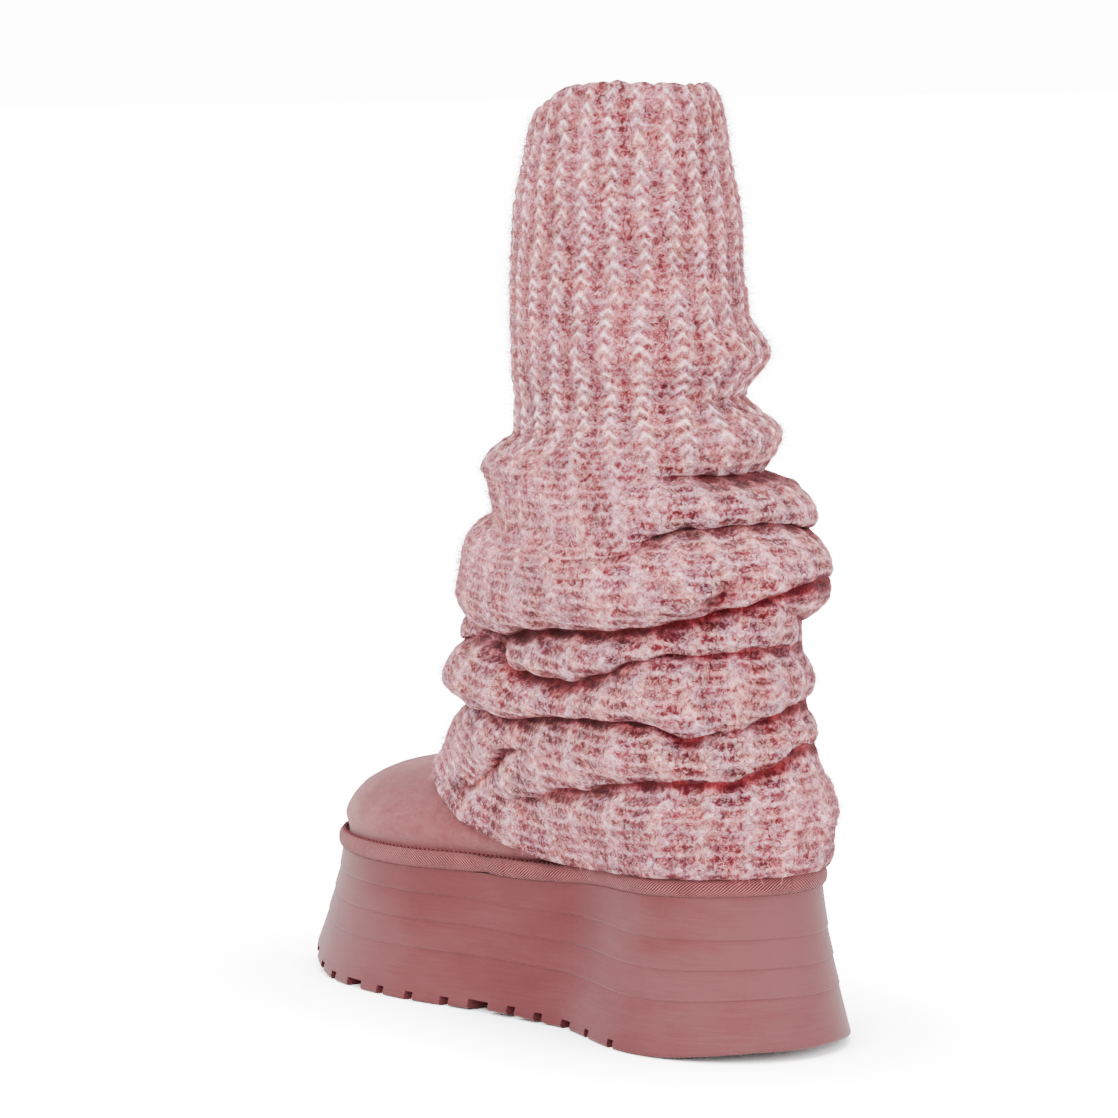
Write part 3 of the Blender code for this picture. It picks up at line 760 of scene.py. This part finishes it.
def twill_tape():
    """Woven tape: slanting ribs of fine threads."""
    f = Finish("twill_tape", 0.82, Sheen_Weight=0.06, Sheen_Tint=(0.95, 0.75, 0.75, 1.0),
               Specular_IOR_Level=0.13)
    thread = f.noise(f.stretched(f.lay, (9.0, 38.0, 1.0), 40), 1.0, 3.0, 0.7)
    dust = f.noise(f.point, 90.0, 3.0, 0.6)
    slant = f.swing(f.mark("weave"), dust, 0.5)
    rib = f.mixed((f.sum("SINE", f.sum("MULTIPLY", slant, 2 * math.pi)), 0.5), start=0.5)
    tone = f.mixed((rib, 0.40), (thread, 0.30), (dust, 0.20), start=0.08)
    colour = f.colours(tone, [(0.32, (0.012, 0.001, 0.002)), (0.50, (0.061, 0.009, 0.011)),
                              (0.70, (0.183, 0.053, 0.056))])
    return f.wear(colour, f.relief(f.mixed((rib, 0.8), start=thread), 0.8, 0.3 * MM))


def sewing_thread():
    """Thick twisted thread, a little darker than the tape."""
    f = Finish("sewing_thread", 0.75, Specular_IOR_Level=0.13)
    twist = f.noise(f.point, 1500.0, 3.0, 0.6)
    colour = f.colours(twist, [(0.3, (0.033, 0.004, 0.006)), (0.7, (0.087, 0.019, 0.021))])
    return f.wear(colour, f.relief(twist, 0.5, 0.2 * MM))


YARN = [(0.20, (0.032, 0.002, 0.004)), (0.36, (0.098, 0.012, 0.018)),
        (0.50, (0.204, 0.038, 0.048)), (0.66, (0.405, 0.105, 0.124)),
        (0.87, (0.970, 0.535, 0.570))]


def marl(f):
    """Blotches of lighter and darker yarn, from the size of a stitch to a hand's."""
    patch = f.noise(f.point, 540.0, 4.0, 0.72, 0.9)
    tone = f.swing(0.458, patch, 0.62)
    tone = f.swing(tone, f.noise(f.point, 270.0, 2.0, 0.5), 0.46)
    return f.swing(tone, f.noise(f.point, 48.0, 2.0, 0.5), 0.30), patch


def marled_knit():
    """Brushed marled yarn: mottled stitches and fine tangled fibres, with painted deep rose shade
    in the crease hollows, painted shade in the rib recesses, and raised loops and roll tops painted
    lighter.
    """
    f = Finish("marled_knit", 0.95, Sheen_Weight=0.08, Sheen_Roughness=0.35,
               Sheen_Tint=(1.0, 0.70, 0.72, 1.0), Specular_IOR_Level=0.05)
    hollow, loop = f.mark("hollow"), f.mark("loop")
    fleck = f.noise(f.point, 1900.0, 3.0, 0.7, 0.8)
    tone, patch = marl(f)
    # Loops lighter and the gaps between them darker: partly the stitch pattern, partly painted
    # light and shade on the stitch relief; the loop mark also holds the rolls' painted light
    tone = f.swing(f.swing(tone, fleck, 0.65), loop, 0.32, 0.36)
    # Painted shade in the rib recesses and in the crease hollows
    tone = f.mixed((f.mark("painted_recess_shade"), -0.05), (hollow, -0.10), start=tone)
    colour = f.colours(tone, YARN)
    wisps = 0.0
    for turn, shift in ((62, 0.0), (-62, 3.1), (15, 7.7), (88, 5.2)):
        lay = f.stretched(f.lay, (6.5, 22.0, 1.0), turn, (shift, shift, 0))
        strand = f.sum("SUBTRACT", f.noise(lay, 1.6, 3.0, 0.6, 1.0), 0.5)
        line = f.between(f.sum("ABSOLUTE", strand), 0.0, 0.024, 1.0, 0.0)
        wisps = f.sum("MAXIMUM", wisps, line)
    # Pale wisps and pale loop tops: the marl's pale fibres, lighter on raised loops as painted
    # highlight
    cover = f.between(f.mixed((loop, 0.3), start=patch), 0.50, 0.80)
    stitch = f.between(f.swing(loop, patch, 0.9), 0.66, 0.92, 0.0, 0.75)
    lift = f.sum("MAXIMUM", f.sum("MULTIPLY", wisps, cover), stitch)
    # Painted shade: the pale fibres fade in the crease hollows
    lift = f.sum("MULTIPLY", lift, f.between(hollow, 0.2, 0.9, 0.85, 0.1))
    colour = f.blend(lift, colour, (1.0, 0.75, 0.77))
    tint = f.colours(f.noise(f.point, 120.0, 2.0, 0.5),
                     [(0.36, (1.0, 0.86, 0.78)), (0.5, (1.0, 1.0, 1.0)),
                      (0.64, (0.93, 0.96, 1.06))])
    colour = f.blend(1.0, colour, tint, "MULTIPLY")
    # Painted shade in the crease hollows: deep rose, near black at the bottom of a crease
    colour = f.blend(f.between(hollow, 0.15, 0.9, 0.0, 0.85), colour, (0.70, 0.29, 0.31),
                     "MULTIPLY")
    colour = f.blend(f.between(hollow, 0.75, 1.0, 0.0, 0.35), colour, (0.060, 0.003, 0.005))
    return f.wear(colour, f.relief(f.mixed((wisps, 0.5), start=fleck), 0.6, 0.6 * MM))


def wool_hair():
    """Loose fibres that follow the marl beneath them, most of them paler."""
    f = Finish("wool_hair", 0.7, Sheen_Weight=0.05, Specular_IOR_Level=0.1)
    tone, _ = marl(f)
    return f.wear(f.colours(f.swing(tone, f.mark("tone"), 0.42, 0.42), YARN))


# Pieces

def fan(spine, edge, shares, height_of):
    """Rings between an outline's middle line and the outline, at the heights of a surface."""
    rings = []
    for t in shares:
        flat = spine + (edge - spine) * t
        rings.append(np.column_stack((flat, height_of(flat[:, 1]))))
    return rings


def make_sole(material):
    """Platform sole: flared side with three fine steps, sprung toe, bevelled heel and lugs."""
    shares, sides = foot_columns(*SOLE_COLUMNS)
    top_out = UPPER_WALL + GAP + TAPE_THICKNESS - TAPE_OVERHANG
    top = outline(top_out, shares, sides)
    ground = outline(top_out + SOLE_FLARE, shares, sides)
    spine, inward = spine_of(top), unit(top - ground)
    share = np.clip(top[:, 1], 0.0, LAST_LENGTH) / LAST_LENGTH
    high = bed_height(top[:, 1])
    height = high - underside_height(ground[:, 1])
    flush, sharp = 0 * share, STEP_REACH / height
    round_start = 1 - CORNER_ROUND / height
    # Stops down the side: how far down, how far set in, rows on the way to the next stop
    stops = [(flush, flush, BAND_ROWS)]
    for heel, middle, toe in SIDE_LINES:
        line = (heel * (1 - share) * (1 - 2 * share) + middle * 4 * share * (1 - share)
                + toe * share * (2 * share - 1))
        stops += [(line - sharp, flush, 1), (line + sharp, flush + STEP_DEPTH, BAND_ROWS)]
    stops += [(round_start, flush, 1)]
    rows, bands = [], []
    for (down, inset, count), (next_down, next_inset, _) in zip(stops, stops[1:]):
        for k in range(count):
            t = k / count
            rows.append((down + (next_down - down) * t, inset + (next_inset - inset) * t))
            bands.append(t if count > 1 else 1.0)
    for k in range(5):
        turn = math.pi / 2 * k / 4
        rows.append((round_start + (1 - round_start) * math.sin(turn),
                     flush + CORNER_ROUND * (1 - math.cos(turn))))
        bands.append(1.0)
    side = []
    for down, inset in rows:
        flat = top + (ground - top) * (down ** FLARE_CURVE)[:, None] + inward * inset[:, None]
        side.append(np.column_stack((flat, high - height * down)))
    cap = fan(spine, side[0][:, :2], np.linspace(0, 1, 8)[:-1], bed_height)
    tread = fan(spine, side[-1][:, :2], np.linspace(1, 0, 18)[1:], underside_height)
    rings = np.array(cap + side + tread)[::-1]
    uv = even_uv(rings)
    # Each row's share of the way down its band, for the painted shade at the top of each band
    bands = np.array([1.0] * len(cap) + bands + [1.0] * len(tread))[::-1, None] + 0 * uv[..., 0]
    share = rings[..., 1] / LAST_LENGTH
    # Toe and heel marks for the sole's painted sheen and dusty bloom
    ends = np.maximum(smooth((share - 0.62) / 0.30), smooth((0.20 - share) / 0.25))
    sole = shaped_sheet("sole_moulding", rings, uv, material,
                        [("band", bands), ("ends", wrap(ends))])
    cutter = bmesh.new()
    for at, width in SLOTS:
        box = bmesh.ops.create_cube(cutter, size=1.0)["verts"]
        middle = in_place((0, at * LAST_LENGTH, float(underside_height(at * LAST_LENGTH))))
        bmesh.ops.scale(cutter, verts=box, vec=(SLOT_SPAN, width * LUG_DEPTH, 2 * LUG_DEPTH))
        bmesh.ops.translate(cutter, verts=box, vec=Vector(middle))
    tool = add("lug_slots", as_mesh("lug_slots", cutter))
    cut = sole.modifiers.new("lugs", "BOOLEAN")
    cut.operation = "DIFFERENCE"
    cut.solver = "EXACT"
    cut.object = tool
    settle(sole)
    bpy.data.objects.remove(tool)
    sole.data.set_sharp_from_angle(angle=math.radians(32))
    return sole


def make_suede(material, lining):
    """Suede boot: outer skin, rolled collar and fleece lining in one closed sheet."""
    shares, sides = foot_columns(*SUEDE_COLUMNS)
    levels = np.concatenate((np.linspace(0, 6, 67)[:-1], np.linspace(6, COLLAR_LEVEL, 27)))
    grid = form_grid(levels, shares, sides)
    normal = outward(grid)
    u = np.arange(grid.shape[1]) / grid.shape[1] * 60
    soft = patches(u[None, :], levels[:, None] * 4, 60, 4)
    fade = smooth((levels - 1.0) / 1.5)[:, None]
    outer = grid + normal * (UPPER_WALL + 0.12 * MM * soft * fade)[..., None]
    inner = grid + normal * GAP
    middle, half = (outer[-1] + inner[-1]) / 2, (outer[-1] - inner[-1]) / 2
    collar = []
    for k in range(1, 6):
        turn = math.pi * k / 6
        up = np.array([0, 0, 1.0]) * UPPER_WALL / 2 * math.sin(turn)
        collar.append(middle + half * math.cos(turn) + up)
    rings = np.concatenate((outer, np.array(collar), inner[::-2]))
    # How near the bottom each point lies, for the suede's painted fill light
    low = 1 - smooth((rings[..., 2] - bed_height(rings[..., 1]) - 4 * MM) / (30 * MM))
    boot = shaped_sheet("suede_boot", rings, even_uv(rings), material, [("low", wrap(low))])
    boot.data.materials.append(lining)
    inside = np.arange(len(boot.data.polygons)) // rings.shape[1] >= len(outer) + 2
    boot.data.polygons.foreach_set("material_index", inside.astype(np.int32))
    return boot


def tape_seat():
    """The tape's seat: inner and outer lines, run, base height, and run past the lapped end."""
    shares, sides = foot_columns(*TAPE_COLUMNS)
    inner = outline(UPPER_WALL + GAP, shares, sides)
    outer = outline(UPPER_WALL + GAP + TAPE_THICKNESS, shares, sides)
    run = np.concatenate(([0], np.cumsum(np.linalg.norm(np.diff(outer, axis=0), axis=1))))
    # The lapped end lies on the medial side in front of the waist
    away = np.where(sides > 0, np.abs(outer[:, 1] - LAP_PLACE * LAST_LENGTH), 1.0)
    return inner, outer, run, bed_height(inner[:, 1]), run - run[np.argmin(away)]


def make_tape(material):
    """Twill tape rolled over the seam, with one lapped end."""
    inner, outer, run, base, over = tape_seat()
    lap = (LAP_RISE * smooth((over + LAP_LENGTH) / (1.2 * MM))
           * (1 - smooth(over / (0.5 * MM))))
    pinch = 1 - 0.16 * np.exp(-((over - 2.5 * MM) / (5.0 * MM)) ** 2)
    unevenness = 0.14 * MM * patches(run / (9 * MM), 0 * run + 0.5, 70, 61)
    rings, weave = [], []
    for k in range(TAPE_STEPS + 1):
        turn = 2 * math.pi * k / TAPE_STEPS - math.pi
        out = 0.5 + 0.5 * math.copysign(abs(math.cos(turn)) ** 0.9, math.cos(turn))
        up = 0.5 + 0.5 * math.copysign(abs(math.sin(turn)) ** 0.85, math.sin(turn))
        push = (lap + unevenness) * smooth((out - 0.15) / 0.5)
        flat = inner + (outer - inner) * (out * pinch)[:, None]
        flat = flat + unit(outer - inner) * push[:, None]
        height = base + 0.08 * MM + (0.5 + (up - 0.5) * pinch) * (TAPE_HEIGHT - 0.08 * MM)
        rings.append(np.column_stack((flat, height)))
        around = turn / math.pi * TAPE_HALF_GIRTH
        weave.append((run + np.where(over < 0, 1.0, -1.0) * TAPE_SLANT * around) / TAPE_PITCH)
    weave = np.array(weave)
    closing = weave[:, :1] + run[-1] / TAPE_PITCH
    u = np.append(run, run[-1] + run[1])[None, :] / MM / 10
    v = np.arange(len(rings))[:, None] / TAPE_STEPS * 2.0
    return shaped_sheet("twill_tape", np.array(rings), uv_grid(u, v), material,
                        [("weave", np.concatenate((weave, closing), axis=1))])


def make_stitches(material):
    """Whip stitches over the tape's upper edge: one small bead repeated all around."""
    inner, outer, run, base, _ = tape_seat()
    count = int(run[-1] / STITCH_PITCH)
    at = (np.arange(count) + 0.5) * STITCH_PITCH
    line = inner * 0.60 + outer * 0.40
    spot = [np.interp(at, run, values) for values in
            (line[:, 0], line[:, 1], base + TAPE_HEIGHT + 0.10 * MM)]
    ahead, along = (np.interp(at + MM, run, values) - np.interp(at - MM, run, values)
                    for values in inner.T)
    bead = bmesh.new()
    bmesh.ops.create_icosphere(bead, subdivisions=1, radius=0.5)
    bmesh.ops.scale(bead, verts=bead.verts, vec=STITCH_SIZE)
    item, points = copies("whip_stitches", bead, count, 1.0, material)
    x, y, z = points.T
    copy = np.rint(x).astype(int)
    turn = np.arctan2(-along, ahead)[copy] + STITCH_TURN
    x = x - copy
    turned = np.stack((x * np.cos(turn) - y * np.sin(turn), x * np.sin(turn) + y * np.cos(turn), z),
                      axis=1)
    place = in_place(np.array(spot).T)[copy]
    item.data.vertices.foreach_set("co", (place + turned).ravel())
    return item


def make_insole(material):
    """Fleece insole with a soft crowned edge."""
    edge = outline(-INSOLE_MARGIN, *foot_columns(*INSOLE_COLUMNS))
    middle = spine_of(edge)
    rings = []
    for t, up in INSOLE_EDGE + [(t, 1.0) for t in np.linspace(0.92, 0, 15)]:
        flat = middle + (edge - middle) * t
        lump = patches(flat[:, 0] / (5 * MM) + 40, flat[:, 1] / (5 * MM) + 40, 97, 9)
        height = bed_height(flat[:, 1]) + GAP + up * (INSOLE_THICKNESS + 0.35 * MM * (lump - 0.6))
        rings.append(np.column_stack((flat, height)))
    rings = np.array(rings)
    return shaped_sheet("fleece_insole", rings, even_uv(rings), material)


def four_way(values, turn):
    """Value at a turn in radians through four values at back, medial, front and lateral."""
    back, medial, front, lateral = values
    return ((back + medial + front + lateral) / 4 + (back - front) / 2 * np.cos(turn)
            + (medial - lateral) / 2 * np.sin(turn)
            + (back - medial + front - lateral) / 4 * np.cos(2 * turn))


def folds(height, turn):
    """Each point's stand-off and droop, how deep in a crease it lies, and its painted light, most
    high on a roll and least by a crease.

    Above a crease the cloth bulges out as a round roll, and below it slopes out slowly.
    """
    share = height / SHAFT_TOP
    stand = four_way([read(FULLNESS, share, k) for k in (1, 2, 3, 4)], np.radians(turn))
    stand = np.maximum(stand, 0) * FOLD_FULLNESS
    slack = smooth((share - 0.20) / 0.05) * (1 - smooth((share - 0.62) / 0.10))
    stand = stand + slack * WANDER * patches(turn / 24 + 30, height / (17 * MM), 15, 41)
    droop, hollow, valley = (np.zeros_like(height) for _ in range(3))
    around = turn[0]
    for k, path in enumerate(CREASES):
        level = read(path, around, 1) * SHAFT_TOP
        level = level + WANDER * patches(around / 15 + 30, 0 * around + k + 0.5, 24, 42)
        depth = read(path, around, 2) * MM
        depth = np.where((around < path[0][0]) | (around > path[-1][0]), 0.0, depth)
        depth = depth * (1 + 0.16 * patches(around / 20 + 30, 0 * around + k + 9.5, 18, 43))
        away = height - level
        roll = 1 - np.sin(np.pi / 2 * np.clip(away / ROLL_REACH, 0, 1)) ** ROLL_CURVE
        slope = (1 - np.clip(-away / SLOPE_REACH, 0, 1)) ** SLOPE_CURVE
        stand = stand - DRAW_IN * depth * np.where(away > 0, roll, slope)
        lift = np.clip(away / DROOP_REACH, 0, 4)
        droop = droop + DROOP * depth * lift * np.exp(1 - lift) * (away > 0)
        wide = np.where(away > 0, HOLLOW_ABOVE, HOLLOW_BELOW)
        deep = depth / FULL_CREASE
        hollow = np.maximum(hollow, deep * np.exp(-(away / wide) ** 2))
        valley = np.maximum(valley, deep * np.exp(-((away + 1.5 * MM) / VALLEY_REACH) ** 2))
    low = stand + 1.0 * MM
    stand = (low + np.sqrt(low ** 2 + (1.6 * MM) ** 2)) / 2 - 1.0 * MM
    # Painted light high on the rolls, falling to a little painted shade at a crease
    painted_crest_light = slack * (0.6 - 0.65 * np.clip(valley, 0, 1))
    return stand, droop, np.clip(hollow, 0, 1), painted_crest_light


def rim_drop(turn):
    """How much lower than the form's top the rim lies, by turn in degrees."""
    front = RIM_FRONT_DROP * smooth((np.abs(turn) - 70) / 62)
    lateral = RIM_LATERAL_DROP * smooth((-turn - 30) / 40)
    ripple = RIM_WAVE * np.cos(np.radians(turn * 5 + 40))
    return np.maximum(front, lateral) + ripple - RIM_RISE


def draped(levels, shares, sides, stand, reach):
    """A face of the knit by level: off the form by a distance, and out by what a fold reaches."""
    grid = form_grid(levels, shares, sides)
    turn = np.broadcast_to(turn_of(shares, sides), grid.shape[:2])
    normal = outward(grid)
    out, droop, hollow, painted_crest_light = folds(grid[..., 2], turn)
    sideways = unit(normal * (1, 1, 0))
    skin = grid + normal * stand + sideways * reach(out)[..., None]
    skin[..., 2] -= droop
    near_rim = smooth((levels - (TOP_LEVEL - RIM_LEVELS)) / RIM_LEVELS)[:, None]
    skin[..., 2] -= rim_drop(turn) * near_rim
    return skin, normal, sideways, hollow, painted_crest_light


def knit_skin(levels, shares, sides):
    """Outer face of the knit by level, with how deep in a crease its points lie and their painted
    light on the rolls.
    """
    skin, _, sideways, hollow, painted_crest_light = draped(
        levels, shares, sides, UPPER_WALL + KNIT_CLEARANCE + KNIT_WALL, lambda out: out)
    lean = np.clip((levels - (TOP_LEVEL - 0.30)) / 0.30, 0, 1)[:, None, None] ** 2
    return skin - sideways * 1.2 * MM * lean, hollow, painted_crest_light


def spread(hollow, rows):
    """Highest of the values a count of rows below, at, and above each place."""
    beside = np.maximum(np.roll(hollow, rows, axis=0), np.roll(hollow, -rows, axis=0))
    return np.maximum(hollow, beside)


def even_levels(count):
    """Levels that space the knit's rows evenly over its folds, and their run along the cloth."""
    levels = np.linspace(HEM_LEVEL, TOP_LEVEL, 900)
    shares, sides = leg_columns(60)
    skin, _, _ = knit_skin(levels, shares, sides)
    steps = np.linalg.norm(np.diff(skin, axis=0), axis=2).mean(axis=1)
    run = np.concatenate(([0], np.cumsum(steps)))
    even = np.linspace(0, run[-1], count)
    return np.interp(even, run, levels), even


def lengthened(values, step):
    """A run of values with one more for each row of the rolled edges at both ends."""
    more = step * np.arange(1, EDGE_ROWS + 1)
    return np.concatenate((values[0] - more[::-1], values, values[-1] + more))


def make_knit(material):
    """Knit tube in three bands with real ribs and stitches, and its inner face."""
    columns = RIBS * RIB_COLUMNS
    levels, run = even_levels(KNIT_ROWS)
    skin, hollow, painted_crest_light = knit_skin(levels, *leg_columns(columns))
    normal = outward(skin)
    around = np.arange(columns + 1)[None, :] / columns * RIBS
    u, v = around[:, :-1], run[:, None] / COURSE
    rib_u = u + (0.22 * patches(u / 3, v / 4, 8, 21) + 0.10 * patches(u, v / 1.5, 24, 22))
    row_v = v + 0.22 * patches(u / 1.5, v / 2, 16, 23)
    rib = wave(rib_u)
    chevron = wave(row_v + 2.4 * np.abs(rib_u - np.round(rib_u))) ** 1.5
    purl = 0.5 + 0.34 * np.cos(2 * np.pi * (row_v + 0.45)) + 0.16 * np.cos(4 * np.pi * row_v)
    strength = 0.75 + 0.35 * patches(u / 2, v / 3, 12, 24)
    # The slouched lower half has thinner ribs and wider purl
    low = smooth((0.66 - skin[..., 2] / SHAFT_TOP) / 0.06)
    thin = rib ** 3
    wide = 0.26 + 0.72 * (purl - 0.5)
    loop = rib ** 1.3 * chevron + (1 - rib) * purl * 0.5
    loop = loop + (thin * (0.24 + 0.46 * chevron) + (1 - thin) * wide - loop) * low
    # Painted shade in the recesses between the ribs and purl rows
    painted_recess_shade = (1 - rib) ** 1.5 * (1 - purl)
    lump = patches(u * 3, v * 2.0, 72, 25) + 0.6 * patches(u * 5, v * 3.6, 120, 26)
    calm = 1 - 0.55 * smooth((levels[:, None] - (TOP_LEVEL - 1.0)) / 0.6)
    height = (RIB_RELIEF * (rib - 0.5) * strength
              + STITCH_RELIEF * (loop - 0.4) * strength * calm + LUMP_RELIEF * lump)
    hem_near = 1 - 0.7 * (1 - smooth((run - 2 * MM) / (9 * MM)))[:, None]
    rim_near = 1 - 0.4 * smooth((run - run[-1] + 9 * MM) / (7 * MM))[:, None]
    in_fold = 1 - 0.25 * spread(hollow, 6)
    surface = skin + normal * (height * hem_near * rim_near * in_fold)[..., None]
    # Rolled hem and rim
    hem, rim = [], []
    down, up = unit(surface[0] - surface[6]), unit(surface[-1] - surface[-7])
    fringe = 1.2 * MM * patches(u[0] * 3, 0 * u[0] + 0.5, 72, 27)[:, None]
    for k in range(1, EDGE_ROWS + 1):
        turn = math.pi * k / EDGE_ROWS
        inward = EDGE_ROLL * (1 - math.cos(turn))
        hem.append(surface[0] - normal[0] * inward + down * EDGE_ROLL * math.sin(turn))
        rim.append(surface[-1] - normal[-1] * inward * RIM_ROLL
                   + up * (EDGE_ROLL * RIM_ROLL + fringe) * math.sin(turn))
    rings = np.concatenate((np.array(hem)[::-1], surface, np.array(rim)))
    skin = surface, outward(rings)[EDGE_ROWS:-EDGE_ROWS], hollow
    # The loop mark: stitch pattern with painted light on raised loops, plus the rolls' painted
    # light
    loop = loop * 0.7 + (rib + (0.5 * thin - rib) * low) * 0.3 + 0.15 * painted_crest_light
    # Marks for the knit's painted light and shade: crease hollows, loops and rib recesses
    marks = [(name, wrap(np.pad(values, ((EDGE_ROWS, EDGE_ROWS), (0, 0)), mode="edge")))
             for name, values in (("hollow", hollow), ("loop", loop), ("painted_recess_shade", painted_recess_shade))]
    uv = uv_grid(around, lengthened(v[:, 0], 0.2)[:, None])
    along = lengthened(run, EDGE_ROLL * 0.4)
    cuts = (0, *BAND_CUTS, len(rings) - 1)
    pieces, lengths = [], []
    for name, first, last in zip(("knit_low", "knit_middle", "knit_high"), cuts, cuts[1:]):
        part = slice(first, last + 1)
        pieces.append(shaped_sheet(name, rings[part], uv[part], material,
                                   [(mark, values[part]) for mark, values in marks]))
        lengths.append(float(along[last] - along[first]))
    return pieces, lengths, make_knit_inside(material), skin


def make_knit_inside(material):
    """Inner face of the tube, clear of the suede inside it."""
    levels, run = even_levels(INNER_ROWS)
    skin, normal, _, hollow, _ = draped(
        levels, *leg_columns(RIBS * INNER_RIB_COLUMNS), UPPER_WALL + KNIT_CLEARANCE,
        lambda out: np.clip(0.6 * out - 1.5 * MM, 0, None))
    u = np.arange(RIBS * INNER_RIB_COLUMNS + 1)[None, :] / INNER_RIB_COLUMNS
    v = run[:, None] / COURSE
    rib = wave(u[:, :-1]) + 0 * v
    loop = 0.5 + 0.5 * np.cos(2 * np.pi * v) * rib
    skin = skin - normal * (0.5 * MM * rib)[..., None] * smooth((levels - 9) / 3)[:, None, None]
    # Painted shade inside the tube: the inner face's hollow mark never falls below a quarter
    return shaped_sheet("knit_inside", skin[::-1], uv_grid(u, v)[::-1], material,
                        [("hollow", wrap(hollow)[::-1] * 0.5 + 0.25), ("loop", wrap(loop)[::-1])])


def make_hairs(name, skin, seed, material):
    """Loose fibres on the knit: copies of one three-piece ribbon, each laid on its own spot."""
    points, normals, hollow = skin
    chance = np.random.RandomState(seed)
    rows, columns = points.shape[:2]
    i = chance.randint(2, rows - 2, HAIR_COUNT)
    j = chance.randint(0, columns, HAIR_COUNT)
    keep = chance.rand(HAIR_COUNT) > 3.0 * spread(hollow, 9)[i, j]
    i, j = i[keep], j[keep]
    count = len(i)
    base, normal = points[i, j], normals[i, j]
    side = unit(points[i, (j + 1) % columns] - base)
    up = np.cross(normal, side)
    heading = chance.uniform(0, 2 * np.pi, count)
    bend = chance.uniform(-1.6, 1.6, count)
    reach = HAIR_LENGTH * chance.uniform(0.45, 1.3, count)
    rise = HAIR_LIFT * chance.uniform(0.1, 1.0, count) ** 2
    line = [base + normal * (0.15 * MM)]
    for k in range(1, 4):
        aim = heading + bend * k / 3
        step = (side * np.cos(aim)[:, None] + up * np.sin(aim)[:, None]) * (reach / 3)[:, None]
        arch = (math.sin(math.pi * k / 3.5) + 0.35 * k / 3) * (1 if k == 1 else 0.25)
        line.append(line[-1] + step + normal * (rise * arch)[:, None])
    line = np.array(line)
    ribbon = bmesh.new()
    bmesh.ops.create_grid(ribbon, x_segments=1, y_segments=3, size=0.5)
    item, spot = copies(name, ribbon, count, 2.0, material)
    copy = np.floor((spot[:, 0] + 1) / 2).astype(int)
    at = np.rint((spot[:, 1] + 0.5) * 3).astype(int)
    edge = np.sign(spot[:, 0] - 2 * copy)
    ahead = line[np.minimum(at + 1, 3), copy] - line[np.maximum(at - 1, 0), copy]
    flat = unit(np.cross(ahead, normal[copy]))
    taper = np.array([0.8, 1.0, 0.8, 0.25])[at]
    wide = HAIR_WIDTH * chance.uniform(0.6, 1.4, count)[copy] * taper / 2
    place = in_place(line[at, copy] + flat * (edge * wide)[:, None])
    item.data.vertices.foreach_set("co", place.ravel())
    put_mark(item.data, "tone", (chance.rand(count) ** 0.6)[copy])
    return item


def aim(item, place, target):
    """Put a lamp or the camera at a place and turn it to a target."""
    item.location = place
    item.rotation_euler = (Vector(target) - Vector(place)).to_track_quat("-Z", "Y").to_euler()


def studio():
    """Pale floor that glows for the camera, with a painted contact shadow round the boot; soft
    lights and the camera.
    """
    f = Finish("studio_floor", 0.9, Specular_IOR_Level=0.0, Emission_Color=(1, 1, 1, 1))
    shade = f.noise(f.point, 6.0, 2.0)
    f.wear(f.colours(shade, [(0.3, (0.94, 0.94, 0.94)), (0.7, (0.96, 0.96, 0.96))]))
    seen = f.node("LightPath").outputs["Is Camera Ray"]
    # Painted contact shadow: the floor's glow fades where occlusion finds the boot close by
    painted_contact_shadow = f.node("AmbientOcclusion", Distance=FLOOR_SHADE_REACH)
    painted_contact_shadow.samples = 8
    clear = f.sum("POWER", painted_contact_shadow.outputs["AO"], FLOOR_SHADE_CURVE)
    glow = f.sum("MULTIPLY", f.sum("MULTIPLY", seen, clear), FLOOR_LIFT)
    f.fill(f.shader, Emission_Strength=glow)
    ground = bmesh.new()
    bmesh.ops.create_grid(ground, x_segments=2, y_segments=2, size=14.0)
    link("studio_floor", as_mesh("studio_floor", ground), f.material)
    world = bpy.data.worlds.new("studio")
    sky = Nodes(world)
    seen = sky.node("LightPath").outputs["Is Camera Ray"]
    sky.fill(sky.tree.nodes["Background"], Color=(1.0, 1.0, 1.0, 1.0),
             Strength=sky.between(seen, 0.0, 1.0, ROOM_LIGHT, PAGE_LIGHT))
    bpy.context.scene.world = world
    for name, place, size, power in LAMPS:
        lamp = bpy.data.lights.new(name, "AREA")
        lamp.shape = "SQUARE"
        lamp.size = size
        lamp.energy = power
        aim(add(name, lamp), place, (0, 0, 0.15))
    lens = bpy.data.cameras.new("camera")
    lens.lens = CAMERA_LENS
    lens.sensor_width = 36.0
    lens.clip_start = 0.05
    camera = add("camera", lens)
    aim(camera, CAMERA_AT, CAMERA_AIM)
    bpy.context.scene.camera = camera


def carry(piece, node):
    """The piece hangs from the root and stands for a solid of the frame, which is hidden."""
    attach(piece, "root")
    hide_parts(node)


studio()
carry(make_sole(moulded_sole()), "platform_sole")
carry(make_suede(suede(), fleece("wool_lining")), "suede_upper")
carry(make_tape(twill_tape()), "binding_tape")
carry(make_stitches(sewing_thread()), "binding_tape")
footbed = make_insole(fleece())
carry(footbed, "insole")
bands, lengths, inside, skin = make_knit(marled_knit())
for band in bands + [inside]:
    carry(band, "knit_legwarmer")
hair = wool_hair()
for k in range(2):
    fuzz = make_hairs("knit_hair_" + str(k), skin, HAIR_SEED + k, hair)
    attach(fuzz, "root")
